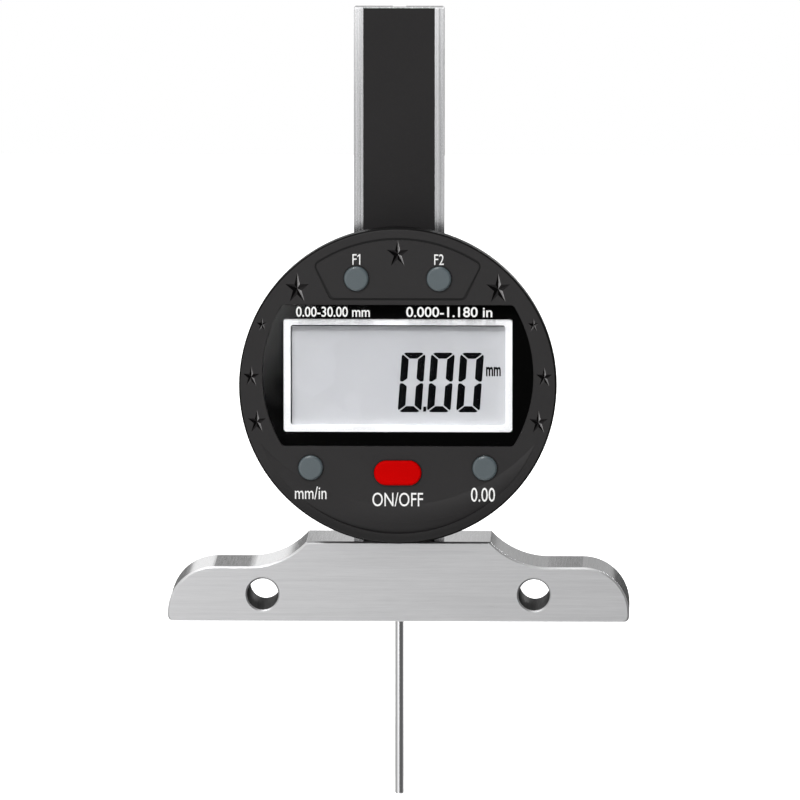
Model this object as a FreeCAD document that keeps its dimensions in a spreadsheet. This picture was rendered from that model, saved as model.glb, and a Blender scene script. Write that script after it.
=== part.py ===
# Digital depth gauge: a steel base with a beam, a round display head that slides on it, and a depth rod.
#
# Millimetres. The origin is the centre of the measuring face under the base, on the rod's axis.
# X is right, Z is up the beam, and the display faces -Y. A depth is a distance in front of the rod's
# axis, towards the reader, so Y is minus the depth. The head's pieces are laid out about the middle
# of the dial, and their Placement lifts them to its height at the bottom of the travel.
import FreeCAD, Part
import math
import os
import Sketcher
from types import SimpleNamespace

SIZES = {
    # Base
    "base_thickness": 16.0,
    "base_block_width": 32.6,
    "base_block_height": 14.3,
    "base_shoulder_height": 9.8,
    "base_shoulder_flat": 6.1,
    "base_sweep_run": 10.3,
    "base_end_height": 1.5,
    "base_chamfer": 0.3,
    "base_low_corner": 1.0,
    "cross_hole_diameter": 5.5,
    "cross_hole_inset": 16.9,
    "cross_hole_height": 4.85,
    "beam_seat_height": 4.3,
    # Beam and its scale
    "beam_width": 16.0,
    "beam_thickness": 4.0,
    "beam_back": 1.0,
    "beam_top_margin": 1.7,
    "beam_chamfer": 0.25,
    "channel_width": 12.7,
    "channel_depth": 0.8,
    "groove_side_gap": 0.2,
    "groove_floor_gap": 0.3,
    "strip_side_gap": 0.05,
    "strip_end_gap": 0.2,
    "strip_thickness": 0.5,
    "label_thickness": 0.25,
    "beam_screw_spacing": 9.0,
    "beam_screw_margin": 5.0,
    "beam_screw_radius": 1.25,
    "beam_screw_head": 2.4,
    "beam_screw_reach": 2.6,
    "end_stop_width": 14.0,
    "end_stop_height": 6.0,
    "end_stop_thickness": 1.6,
    "end_stop_chamfer": 0.4,
    "end_stop_gap": 0.3,
    "end_stop_screw_spacing": 8.4,
    # Travel, rod and running fits
    "travel": 32.0,
    "rod_diameter": 1.5,
    "rod_tip_chamfer": 0.15,
    "rod_running_gap": 0.05,
    "running_gap": 0.05,
    "low_stop_gap": 0.2,
    # Slider
    "frame_wall": 3.4,
    "frame_low_gap": 2.0,
    "frame_high_gap": 0.5,
    "frame_lip": 0.45,
    "frame_corner": 1.0,
    "ear_thickness": 1.5,
    "ear_width": 4.6,
    "reader_width": 11.0,
    "reader_low_margin": 5.0,
    "reader_high_margin": 8.5,
    "gib_thickness": 0.5,
    "gib_end_gap": 1.0,
    "gib_screw_spacing": 20.0,
    "gib_screw_radius": 0.9,
    "back_plate_thickness": 1.5,
    "back_plate_margin": 0.2,
    "tongue_width": 8.0,
    "back_screw_side_margin": 1.8,
    "back_screw_end_margin": 3.0,
    "back_screw_reach": 1.9,
    "anchor_wall": 0.25,
    "anchor_length": 7.0,
    "anchor_front_wall": 0.15,
    "anchor_grip": 4.0,
    "anchor_screw_margin": 1.4,
    "anchor_screw_reach": 1.6,
    "anchor_screw_radius": 0.5,
    "anchor_screw_head": 1.0,
    "small_screw_radius": 0.8,
    "small_screw_head": 1.4,
    # Head housing
    "face_front": 12.6,
    "face_thickness": 1.7,
    "face_chamfer": 0.35,
    "rim_radius": 28.1,
    "rim_depth": 3.5,
    "rim_overhang": 1.2,
    "skirt_height": 0.7,
    "skirt_wall": 1.6,
    "rear_step": 0.5,
    "rear_wall": 2.0,
    "rear_back_wall": 1.6,
    "rear_chamfer": 1.2,
    "spigot_height": 1.2,
    "spigot_gap": 0.1,
    "slot_gap": 0.4,
    "low_boss_gap": 1.85,
    "low_boss_inset": 1.1,
    "high_boss_gap": 0.35,
    "high_boss_inset": 1.5,
    "front_boss_radius": 1.9,
    "inside_gap": 0.2,
    "rear_boss_radius": 2.5,
    "housing_screw_radius": 0.8,
    "housing_screw_head": 1.5,
    "housing_screw_sink": 2.6,
    "housing_screw_reach": 5.5,
    # Window and its recess
    "window_margin": 4.15,
    "window_half_height": 12.54,
    "window_offset": 1.9,
    "window_corner": 0.9,
    "window_gap": 0.05,
    "window_inset": 0.2,
    "ledge_width": 1.2,
    "ledge_rib": 0.3,
    "ledge_depth": 1.2,
    "mask_thickness": 0.1,
    # Display
    "display_offset": 1.8,
    "window_border": 1.35,
    "window_band": 2.49,
    "bezel_side_width": 1.25,
    "bezel_band_width": 1.1,
    "bezel_hidden": 0.2,
    "bezel_corner": 1.3,
    "view_corner": 0.5,
    "bezel_lip": 1.1,
    "glass_margin": 0.45,
    "glass_thickness": 2.0,
    "glass_gap": 0.1,
    "zebra_width": 1.8,
    "zebra_inset": 0.4,
    # Circuit board
    "board_gap": 1.0,
    "board_thickness": 1.0,
    "board_notch": 2.3,
    "board_screw_side_margin": 1.7,
    "board_screw_end_margin": 2.4,
    "board_screw_gap": 0.55,
    "board_screw_reach": 2.4,
    "chip_width": 8.0,
    "chip_height": 6.0,
    "chip_thickness": 1.2,
    "capacitor_length": 1.6,
    "capacitor_width": 0.9,
    "crystal_radius": 0.75,
    "crystal_length": 5.0,
    # Buttons and their switches
    "button_diameter": 4.35,
    "button_proud": 0.6,
    "button_edge": 0.25,
    "button_travel": 0.5,
    "button_gap": 0.08,
    "button_flange": 0.5,
    "button_flange_height": 0.85,
    "button_stem": 1.2,
    "power_button_length": 8.35,
    "top_button_spacing": 14.6,
    "top_button_gap": 2.535,
    "side_button_spacing": 30.8,
    "side_button_gap": 1.685,
    "power_button_gap": 2.585,
    "switch_width": 4.0,
    "switch_height": 2.0,
    "switch_well": 1.3,
    "plunger_radius": 0.9,
    "plunger_rise": 0.5,
    "plunger_play": 0.1,
    # Ornament on the front cover
    "panel_margin": 1.9,
    "panel_top_width": 29.6,
    "panel_low_width": 23.5,
    "panel_gap": 1.06,
    "panel_line": 0.38,
    "panel_line_depth": 0.25,
    "panel_corner": 1.0,
    "star_depth": 0.5,
    "crescent_margin": 1.8,
    "crescent_offset": 11.0,
    "crescent_lip_width": 3.2,
    "crescent_slope_width": 1.9,
    "crescent_rise": 0.16,
    "crescent_fall": 0.5,
    # Battery and its compartment
    "battery_radius": 10.0,
    "battery_thickness": 3.2,
    "battery_plate_gap": 0.35,
    "battery_cap_radius": 8.9,
    "battery_cap_height": 0.3,
    "battery_gap": 0.3,
    "contact_thickness": 0.2,
    "contact_width": 3.0,
    "contact_leg_gap": 0.6,
    "well_wall": 1.3,
    "well_floor": 0.5,
    "cover_seat_width": 1.1,
    "cover_gap": 0.1,
    "cover_thickness": 1.3,
    "cover_rim_width": 0.8,
    "cover_boss_height": 0.5,
    "lug_width": 0.8,
    "lug_thickness": 0.7,
    "lug_angle": 30.0,
    "lug_notch_angle": 34.0,
    "lug_turn": 50.0,
    "lug_gap": 0.1,
    "lug_wall": 1.3,
    "seal_width": 0.5,
    "seal_height": 0.44,
    "coin_slot_length": 12.0,
    "coin_slot_width": 1.6,
    "coin_slot_depth": 0.7,
    # Cutting tools run past the faces that they cut
    "overrun": 2.0,
}

# Stars: across and up from the middle of the dial, and outer radius, as shares of the rim's radius
STAR_SHARES = (
    (0.0, 0.836, 0.072),
    (0.632, 0.616, 0.079),
    (0.854, 0.388, 0.036),
    (0.922, 0.057, 0.053),
    (0.886, -0.228, 0.060),
)
STAR_INNER_SHARE = 0.36
STAR_POINTS = 5
# The stars are taller than they are wide
STAR_TALL_SHARE = 1.27
# Parts on the board: across and up, as shares of the board's radius
CAPACITOR_SHARES = ((-0.5, 0.05), (-0.5, -0.05), (0.42, 0.16), (0.42, 0.06), (-0.28, -0.2), (0.1, -0.2))
CHIP_SHARES = (-0.06, 0.1)
CRYSTAL_SHARES = (0.58, -0.1)
# Screw heads: cross recess and pan height, as shares of the head's radius
RECESS_WIDTH_SHARE = 0.3
RECESS_LENGTH_SHARE = 0.62
RECESS_DEPTH_SHARE = 0.35
PAN_HEIGHT_SHARE = 0.6
CHIP_CHAMFER_SHARE = 0.33
# How far a star's cutting tool stands out of the face, as a share of its depth
STAR_OVERRUN_SHARE = 0.25
LUGS = 3
# Edges are picked by where they lie, to within this
SAME = Part.Precision.confusion() * 10

TO_FRONT = FreeCAD.Rotation(FreeCAD.Vector(1, 0, 0), 90)
TO_RIGHT = FreeCAD.Rotation(FreeCAD.Vector(0, 1, 0), 90)

doc = FreeCAD.newDocument("depth_gauge")
sheet = doc.addObject("Spreadsheet::Sheet", "sizes")
for row, (alias, value) in enumerate(SIZES.items(), start=1):
    sheet.set(f"A{row}", alias)
    sheet.set(f"B{row}", str(value))
    sheet.setAlias(f"B{row}", alias)
doc.recompute()


class Size:
    """A number with the formula that gives it from the sheet, so that a property can be bound to it."""

    def __init__(self, number, formula):
        self.number = number
        self.formula = formula

    def __add__(self, other):
        other = known(other)
        return Size(self.number + other.number, f"({self.formula} + {other.formula})")

    def __sub__(self, other):
        other = known(other)
        return Size(self.number - other.number, f"({self.formula} - {other.formula})")

    def __mul__(self, other):
        other = known(other)
        return Size(self.number * other.number, f"({self.formula} * {other.formula})")

    def __truediv__(self, other):
        other = known(other)
        return Size(self.number / other.number, f"({self.formula} / {other.formula})")

    def __neg__(self):
        return Size(-self.number, f"(-1 * {self.formula})")

    def root(self):
        return Size(math.sqrt(self.number), f"sqrt({self.formula})")


def known(value):
    """A size as it is, or a plain number as a size."""
    return value if isinstance(value, Size) else Size(float(value), f"({value})")


size = SimpleNamespace(**{alias: Size(float(sheet.get(alias)), f"sizes.{alias}") for alias in SIZES})
ZERO = Size(0.0, "0")


def bind(thing, path, value):
    """Bind a property to the formula of a size."""
    thing.setExpression(path, known(value).formula)


heights = {}


def place(thing, x, depth, z, turn=FreeCAD.Rotation()):
    """Turn a primitive, then bind where its corner or centre stands."""
    heights[thing.Name] = known(z)
    thing.Placement = FreeCAD.Placement(FreeCAD.Vector(), turn)
    bind(thing, "Placement.Base.x", x)
    bind(thing, "Placement.Base.y", -known(depth))
    bind(thing, "Placement.Base.z", z)
    return thing


def across(radius, aside):
    """How far a circle reaches at a place aside from its middle."""
    return (radius * radius - aside * aside).root()


# Values that many pieces share

skirt_radius = size.rim_radius - size.rim_overhang
rear_radius = skirt_radius - size.rear_step
inside_radius = rear_radius - size.rear_wall - size.inside_gap
part_line = size.face_front - size.rim_depth - size.skirt_height
head_height = size.base_block_height + size.low_stop_gap + size.rim_radius
window_radius = size.rim_radius - size.window_margin
window_high = size.window_offset + size.window_half_height
window_low = size.window_offset - size.window_half_height
bezel_up = size.window_half_height - size.window_band
bezel_half = across(window_radius - size.window_border, bezel_up)
display_high = size.display_offset + bezel_up + size.bezel_hidden
display_low = size.display_offset - bezel_up - size.bezel_hidden


# Primitives


def block(name, left, right, back, front, bottom, top):
    """A box between two X, two depths and two Z."""
    made = doc.addObject("Part::Box", name)
    bind(made, "Length", right - left)
    bind(made, "Width", front - back)
    bind(made, "Height", top - bottom)
    return place(made, left, front, bottom)


def disc(name, x, z, radius, back, front):
    """A cylinder along the depth."""
    made = doc.addObject("Part::Cylinder", name)
    bind(made, "Radius", radius)
    bind(made, "Height", front - back)
    return place(made, x, back, z, TO_FRONT)


def post(name, radius, bottom, top):
    """A cylinder up the rod's axis."""
    made = doc.addObject("Part::Cylinder", name)
    bind(made, "Radius", radius)
    bind(made, "Height", top - bottom)
    return place(made, ZERO, ZERO, bottom)


def cone(name, x, z, back_radius, front_radius, back, front):
    """A cone along the depth."""
    made = doc.addObject("Part::Cone", name)
    bind(made, "Radius1", back_radius)
    bind(made, "Radius2", front_radius)
    bind(made, "Height", front - back)
    return place(made, x, back, z, TO_FRONT)


def sector(name, radius, centre_angle, width_angle, back, front):
    """A slice of a cylinder along the depth, about an angle from the right, seen from the front."""
    made = doc.addObject("Part::Cylinder", name)
    bind(made, "Radius", radius)
    bind(made, "Height", front - back)
    bind(made, "Angle", width_angle)
    start = centre_angle.number - width_angle.number / 2
    return place(made, ZERO, back, ZERO, TO_FRONT * FreeCAD.Rotation(FreeCAD.Vector(0, 0, 1), start))


# Booleans


def fuse(name, *parts):
    made = doc.addObject("Part::MultiFuse", name)
    made.Shapes = list(parts)
    made.Refine = True
    return made


def common(name, *parts):
    made = doc.addObject("Part::MultiCommon", name)
    made.Shapes = list(parts)
    return made


def cut(name, whole, *tools):
    made = doc.addObject("Part::Cut", name)
    made.Base = whole
    made.Tool = tools[0] if len(tools) == 1 else fuse(f"{name}_tools", *tools)
    return made


def group(name, *parts):
    """Separate solids in one node."""
    made = doc.addObject("Part::Compound", name)
    made.Links = list(parts)
    return made


# Bodies and sketches


def origin_plane(body, role):
    return next(item for item in body.Origin.OriginFeatures if item.Role == role)


def sketch(body, name, role, offset, wires):
    made = body.newObject("Sketcher::SketchObject", name)
    made.AttachmentSupport = [(origin_plane(body, role), "")]
    made.MapMode = "FlatFace"
    bind(made, "AttachmentOffset.Base.z", offset)
    for wire in wires:
        wire(made)
    return made


def pad(body, name, role, low, high, *wires):
    """Material between two places along the plane's normal."""
    made = body.newObject("PartDesign::Pad", name)
    made.Profile = sketch(body, f"{name}_sketch", role, low, wires)
    bind(made, "Length", high - low)
    return made


def pocket(body, name, role, low, high, *wires):
    """A cut between two places along the plane's normal."""
    made = body.newObject("PartDesign::Pocket", name)
    made.Profile = sketch(body, f"{name}_sketch", role, high, wires)
    bind(made, "Length", high - low)
    return made


def revolve(body, name, *wires):
    """A profile in Y and radius, turned about the body's Y axis."""
    made = body.newObject("PartDesign::Revolution", name)
    made.Profile = sketch(body, f"{name}_sketch", "YZ_Plane", ZERO, wires)
    made.ReferenceAxis = (origin_plane(body, "Y_Axis"), [""])
    made.Angle = 360
    return made


def edges(shape, test):
    """The names of the edges that pass a test."""
    return [f"Edge{i}" for i, edge in enumerate(shape.Edges, start=1) if test(edge)]


def chamfer(body, name, amount, test):
    """A chamfer on the edges of the body's last feature that pass a test."""
    doc.recompute()
    last = body.Tip
    made = body.newObject("PartDesign::Chamfer", name)
    made.Base = (last, edges(last.Shape, test))
    bind(made, "Size", amount)
    return made


def fillet(body, name, amount, test):
    doc.recompute()
    last = body.Tip
    made = body.newObject("PartDesign::Fillet", name)
    made.Base = (last, edges(last.Shape, test))
    bind(made, "Radius", amount)
    return made


def hold(drawing, geometry, end, x, y):
    """Fix one point of a sketch at x and y."""
    for kind, line, value in (("DistanceX", -2, known(x)), ("DistanceY", -1, known(y))):
        if value.formula == "0":
            drawing.addConstraint(Sketcher.Constraint("PointOnObject", geometry, end, line))
            continue
        made = drawing.addConstraint(Sketcher.Constraint(kind, -1, 1, geometry, end, value.number))
        drawing.setExpression(f"Constraints[{made}]", value.formula)


def circle(x, y, radius):
    def draw(drawing):
        centre = FreeCAD.Vector(known(x).number, known(y).number, 0)
        ring = drawing.addGeometry(Part.Circle(centre, FreeCAD.Vector(0, 0, 1), radius.number), False)
        hold(drawing, ring, 3, x, y)
        made = drawing.addConstraint(Sketcher.Constraint("Radius", ring, radius.number))
        drawing.setExpression(f"Constraints[{made}]", radius.formula)

    return draw


def arc_between(start, end, radius, left):
    """The shorter arc between two points, with its centre on the left or right of the way."""
    middle = (start + end) / 2
    half = (end - start) / 2
    rise = math.sqrt(max(radius * radius - half.Length * half.Length, 0.0))
    aside = FreeCAD.Vector(-half.y, half.x, 0).normalize() * (rise if left else -rise)
    centre = middle + aside
    ring = Part.Circle(centre, FreeCAD.Vector(0, 0, 1), radius)
    first, last = (start, end) if left else (end, start)
    angles = [math.atan2(point.y - centre.y, point.x - centre.x) for point in (first, last)]
    return Part.ArcOfCircle(ring, *angles)


def outline(*corners):
    """A closed wire. A corner with a radius and a side starts an arc, the others start a line."""

    def draw(drawing):
        points = [FreeCAD.Vector(known(c[0]).number, known(c[1]).number, 0) for c in corners]
        starts, ends = [], []
        for i, corner in enumerate(corners):
            here, there = points[i], points[(i + 1) % len(points)]
            if not corner[2:]:
                made = drawing.addGeometry(Part.LineSegment(here, there), False)
                starts.append((made, 1))
                ends.append((made, 2))
                continue
            radius, left = corner[2:]
            made = drawing.addGeometry(arc_between(here, there, radius.number, left), False)
            starts.append((made, 1 if left else 2))
            ends.append((made, 2 if left else 1))
        for i, corner in enumerate(corners):
            follower = starts[(i + 1) % len(points)]
            drawing.addConstraint(Sketcher.Constraint("Coincident", *ends[i], *follower))
            hold(drawing, *starts[i], corner[0], corner[1])
            if corner[2:]:
                made = drawing.addConstraint(Sketcher.Constraint("Radius", starts[i][0], corner[2].number))
                drawing.setExpression(f"Constraints[{made}]", corner[2].formula)

    return draw


def rectangle(left, bottom, right, top):
    return outline((left, bottom), (right, bottom), (right, top), (left, top))


def rounded(left, bottom, right, top, radius):
    """A rectangle with round corners."""
    return outline(
        (left + radius, bottom),
        (right - radius, bottom, radius, True),
        (right, bottom + radius),
        (right, top - radius, radius, True),
        (right - radius, top),
        (left + radius, top, radius, True),
        (left, top - radius),
        (left, bottom + radius, radius, True),
    )


# Screws, which all lie along the depth


def span(start, way, length):
    """The back and front of a stretch that starts at a depth and runs forwards or backwards."""
    return (start, start + length) if way > 0 else (start - length, start)


def recessed(name, solid, x, z, face, way, head):
    """A cross recess in a screw's head."""
    long, wide = head * RECESS_LENGTH_SHARE, head * RECESS_WIDTH_SHARE / 2
    deep = span(face, way, head * RECESS_DEPTH_SHARE)
    arms = [
        block(f"{name}_recess_{i}", x - across, x + across, *deep, z - up, z + up)
        for i, (across, up) in enumerate(((long, wide), (wide, long)))
    ]
    return cut(name, solid, *arms)


def sunk_screw(name, x, z, face, way, length, radius, head):
    """A countersunk screw whose head is flush with a face and which runs forwards (1) or backwards (-1)."""
    radii = (head, radius) if way > 0 else (radius, head)
    solid = fuse(
        f"{name}_blank",
        cone(f"{name}_head", x, z, *radii, *span(face, way, head - radius)),
        disc(f"{name}_shank", x, z, radius, *span(face, way, length)),
    )
    return recessed(name, solid, x, z, face, way, head)


def pan_screw(name, x, z, seat, way, length, radius, head):
    """A pan head screw whose head sits on a seat."""
    solid = fuse(
        f"{name}_blank",
        disc(f"{name}_head", x, z, head, *span(seat, -way, head * PAN_HEIGHT_SHARE)),
        disc(f"{name}_shank", x, z, radius, *span(seat, way, length)),
    )
    top = seat - head * PAN_HEIGHT_SHARE if way > 0 else seat + head * PAN_HEIGHT_SHARE
    return recessed(name, solid, x, z, top, way, head)


def sunk_hole(name, x, z, face, way, length, radius, head):
    """The countersunk hole of such a screw, which runs past the face."""
    radii = (head, radius) if way > 0 else (radius, head)
    return fuse(
        name,
        cone(f"{name}_mouth", x, z, *radii, *span(face, way, head - radius)),
        disc(f"{name}_bore", x, z, radius, *span(face, way, length)),
        disc(f"{name}_way_in", x, z, head, *span(face, -way, size.overrun)),
    )


nodes = {}


def node(name, made, on_head=False):
    """Name a finished piece. One on the head is lifted to the middle of the dial."""
    made.Label = name
    if on_head:
        bind(made, "Placement.Base.z", head_height + heights.get(made.Name, ZERO))
    nodes[name] = made


# Base


def make_base():
    body = doc.addObject("PartDesign::Body", "base_steel")
    block_half = size.base_block_width / 2
    shoulder = size.base_shoulder_height
    drop = size.base_block_height - shoulder
    run = size.base_sweep_run
    sweep = (run * run + drop * drop) / (drop * 2)
    end = shoulder - size.base_end_height
    half = block_half + run + size.base_shoulder_flat + end
    hole = half - size.cross_hole_inset
    corner = size.base_low_corner
    pad(
        body,
        "base_profile",
        "XZ_Plane",
        -size.base_thickness / 2,
        size.base_thickness / 2,
        outline(
            (corner - half, ZERO),
            (half - corner, ZERO, corner, True),
            (half, corner),
            (half, size.base_end_height, end, True),
            (half - end, shoulder),
            (block_half + run, shoulder, sweep, False),
            (block_half, size.base_block_height),
            (-block_half, size.base_block_height, sweep, False),
            (-block_half - run, shoulder),
            (end - half, shoulder, end, True),
            (-half, size.base_end_height),
            (-half, corner, corner, True),
        ),
    )
    pocket(
        body,
        "cross_holes",
        "XZ_Plane",
        -size.base_thickness / 2 - size.overrun,
        size.base_thickness / 2 + size.overrun,
        circle(-hole, size.cross_hole_height, size.cross_hole_diameter / 2),
        circle(hole, size.cross_hole_height, size.cross_hole_diameter / 2),
    )
    face = size.base_thickness.number / 2
    chamfer(
        body,
        "base_edges",
        size.base_chamfer,
        lambda edge: all(abs(abs(v.Y) - face) < SAME for v in edge.Vertexes)
        and abs(edge.BoundBox.YLength) < SAME,
    )
    pocket(
        body,
        "beam_seat",
        "XY_Plane",
        beam_bottom,
        size.base_block_height + size.overrun,
        rectangle(-size.beam_width / 2, -beam_front, size.beam_width / 2, size.beam_back),
    )
    pocket(
        body,
        "rod_guide",
        "XY_Plane",
        -size.overrun,
        size.base_block_height,
        circle(ZERO, ZERO, size.rod_diameter / 2 + size.rod_running_gap),
    )
    holes = [
        sunk_hole(f"base_screw_hole_{i}", side, beam_screw_z, -size.base_thickness / 2, 1,
                  beam_screw_length, size.beam_screw_radius, size.beam_screw_head)
        for i, side in enumerate(beam_screw_places)
    ]
    node("base", cut("base", body, *holes))


# Beam, scale and what is screwed to them

beam_front = size.beam_thickness - size.beam_back
beam_bottom = size.beam_seat_height
channel_floor = beam_front - size.channel_depth
rod_radius = size.rod_diameter / 2
anchor_half = rod_radius + size.anchor_wall
groove_floor = rod_radius + size.groove_floor_gap
beam_screw_places = (-size.beam_screw_spacing / 2, size.beam_screw_spacing / 2)
beam_screw_z = size.base_block_height - size.beam_screw_margin
beam_screw_length = size.base_thickness / 2 - size.beam_back + size.beam_screw_reach
stop_bottom = head_height + rear_radius + size.travel + size.end_stop_gap
stop_back = -size.beam_back - size.end_stop_thickness
stop_screw_places = (-size.end_stop_screw_spacing / 2, size.end_stop_screw_spacing / 2)
stop_screw_z = stop_bottom + size.end_stop_height / 2
stop_screw_length = channel_floor - stop_back
beam_top = stop_bottom + size.end_stop_height + size.beam_top_margin


def make_beam():
    body = doc.addObject("PartDesign::Body", "beam_steel")
    half = size.beam_width / 2
    bar = rectangle(-half, -beam_front, half, size.beam_back)
    pad(body, "beam_bar", "XY_Plane", beam_bottom, beam_top, bar)
    top = beam_top.number
    chamfer(
        body,
        "beam_top_edges",
        size.beam_chamfer,
        lambda edge: all(abs(v.Z - top) < SAME for v in edge.Vertexes),
    )
    channel = size.channel_width / 2
    groove = anchor_half + size.groove_side_gap
    low, high = beam_bottom - size.overrun, beam_top + size.overrun
    pocket(body, "scale_channel", "XY_Plane", low, high,
           rectangle(-channel, -beam_front - size.overrun, channel, -channel_floor))
    pocket(body, "rod_groove", "XY_Plane", low, high,
           rectangle(-groove, -groove_floor, groove, size.beam_back + size.overrun))
    pocket(body, "base_screw_holes", "XZ_Plane", -size.beam_back - size.overrun, beam_front,
           *(circle(x, beam_screw_z, size.beam_screw_radius) for x in beam_screw_places))
    pocket(body, "stop_screw_holes", "XZ_Plane", -size.beam_back - size.overrun, beam_front,
           *(circle(x, stop_screw_z, size.small_screw_radius) for x in stop_screw_places))
    node("beam", body)


def make_scale():
    half = size.channel_width / 2 - size.strip_side_gap
    low, high = beam_bottom + size.strip_end_gap, beam_top - size.strip_end_gap
    top = channel_floor + size.strip_thickness
    node("scale_strip", block("scale_strip", -half, half, channel_floor, top, low, high))
    node("scale_cover", block("scale_cover", -half, half, top, top + size.label_thickness, low, high))


def make_beam_fasteners():
    screws = [
        sunk_screw(f"beam_screw_{i}", x, beam_screw_z, -size.base_thickness / 2, 1,
                   beam_screw_length, size.beam_screw_radius, size.beam_screw_head)
        for i, x in enumerate(beam_screw_places)
    ]
    node("beam_screws", group("beam_screws", *screws))
    body = doc.addObject("PartDesign::Body", "end_stop_plate")
    half = size.end_stop_width / 2
    pad(body, "end_stop_pad", "XZ_Plane", stop_back, -size.beam_back,
        rounded(-half, stop_bottom, half, stop_bottom + size.end_stop_height, size.end_stop_chamfer * 2))
    back = -stop_back.number
    chamfer(body, "end_stop_edges", size.end_stop_chamfer,
            lambda edge: all(abs(v.Y - back) < SAME for v in edge.Vertexes))
    holes = [
        sunk_hole(f"end_stop_hole_{i}", x, stop_screw_z, stop_back, 1,
                  stop_screw_length, size.small_screw_radius, size.small_screw_head)
        for i, x in enumerate(stop_screw_places)
    ]
    node("end_stop", cut("end_stop", body, *holes))
    screws = [
        sunk_screw(f"end_stop_screw_{i}", x, stop_screw_z, stop_back, 1,
                   stop_screw_length, size.small_screw_radius, size.small_screw_head)
        for i, x in enumerate(stop_screw_places)
    ]
    node("end_stop_screws", group("end_stop_screws", *screws))


# Slider, laid out about the middle of the dial

frame_back = -size.beam_back - size.running_gap
lip_back = beam_front + size.running_gap
left_wall = -size.beam_width / 2 - size.running_gap
gib_left = size.beam_width / 2 + size.running_gap
gib_right = gib_left + size.gib_thickness
right_wall = gib_right + size.running_gap
frame_half = right_wall + size.frame_wall
frame_end = (inside_radius * inside_radius - frame_half * frame_half).root()
frame_low = size.frame_low_gap - frame_end
frame_high = frame_end - size.frame_high_gap
frame_front = lip_back + size.frame_lip
ear_back = frame_front - size.ear_thickness
plate_back = frame_back - size.back_plate_thickness
plate_top = frame_high - size.back_plate_margin
low_boss_z = display_low - size.front_boss_radius - size.low_boss_gap
low_boss_x = across(inside_radius - size.low_boss_inset, low_boss_z)
high_boss_z = display_high + size.front_boss_radius + size.high_boss_gap
high_boss_x = across(inside_radius - size.high_boss_inset, high_boss_z)
boss_places = [
    (side, z) for x, z in ((low_boss_x, low_boss_z), (high_boss_x, high_boss_z)) for side in (-x, x)
]
gib_screw_places = (-size.gib_screw_spacing / 2, size.gib_screw_spacing / 2)
back_screw_x = frame_half - size.back_screw_side_margin
back_screw_places = [
    (x, z)
    for x in (-back_screw_x, back_screw_x)
    for z in (frame_low + size.back_screw_end_margin, frame_high - size.back_screw_end_margin)
]
back_screw_length = size.back_plate_thickness + size.back_screw_reach
board_screw_x = frame_half - size.board_screw_side_margin
board_screw_places = [
    (x, z)
    for x in (-board_screw_x, board_screw_x)
    for z in (frame_low + size.board_screw_end_margin,
              display_high + size.small_screw_head + size.board_screw_gap)
]
board_screw_length = size.board_thickness + size.board_screw_reach
anchor_bottom = plate_top - size.anchor_length
anchor_screw_z = plate_top - size.anchor_screw_margin
anchor_screw_length = size.back_plate_thickness + size.anchor_screw_reach


def make_slider_frame():
    body = doc.addObject("PartDesign::Body", "slider_frame_metal")
    pad(body, "frame_block", "XZ_Plane", frame_back, frame_front,
        rounded(-frame_half, frame_low, frame_half, frame_high, size.frame_corner))
    ear = size.ear_width / 2
    for i, (x, z) in enumerate(boss_places):
        pad(body, f"ear_end_{i}", "XZ_Plane", ear_back, frame_front, circle(x, z, ear))
    for i, (x, z) in enumerate(((low_boss_x, low_boss_z), (high_boss_x, high_boss_z))):
        pad(body, f"ear_arms_{i}", "XZ_Plane", ear_back, frame_front, rectangle(-x, z - ear, x, z + ear))
    low, high = frame_low - size.overrun, frame_high + size.overrun
    pocket(body, "beam_channel", "XY_Plane", low, high,
           rectangle(left_wall, -lip_back, right_wall, -frame_back + size.overrun))
    pocket(body, "ear_ends", "XZ_Plane", ear_back - size.overrun, frame_front + size.overrun,
           circle(ZERO, ZERO, inside_radius), circle(ZERO, ZERO, rear_radius + size.overrun))
    reader = size.reader_width / 2
    pocket(body, "reader_window", "XZ_Plane", beam_front - size.overrun, frame_front + size.overrun,
           rounded(-reader, frame_low + size.reader_low_margin, reader, frame_high - size.reader_high_margin,
                   size.frame_corner))
    pocket(body, "ear_holes", "XZ_Plane", ear_back - size.overrun, frame_front + size.overrun,
           *(circle(x, z, size.housing_screw_radius + size.running_gap) for x, z in boss_places))
    pocket(body, "back_screw_holes", "XZ_Plane",
           frame_back - size.overrun, frame_back + size.back_screw_reach,
           *(circle(x, z, size.small_screw_radius) for x, z in back_screw_places))
    pocket(body, "board_screw_holes", "XZ_Plane",
           frame_front - size.board_screw_reach, frame_front + size.overrun,
           *(circle(x, z, size.small_screw_radius) for x, z in board_screw_places))
    middle = -(frame_back + beam_front) / 2
    pocket(body, "gib_screw_holes", "YZ_Plane", gib_right, frame_half + size.overrun,
           *(circle(middle, z, size.gib_screw_radius) for z in gib_screw_places))
    node("slider_frame", body, on_head=True)


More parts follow.
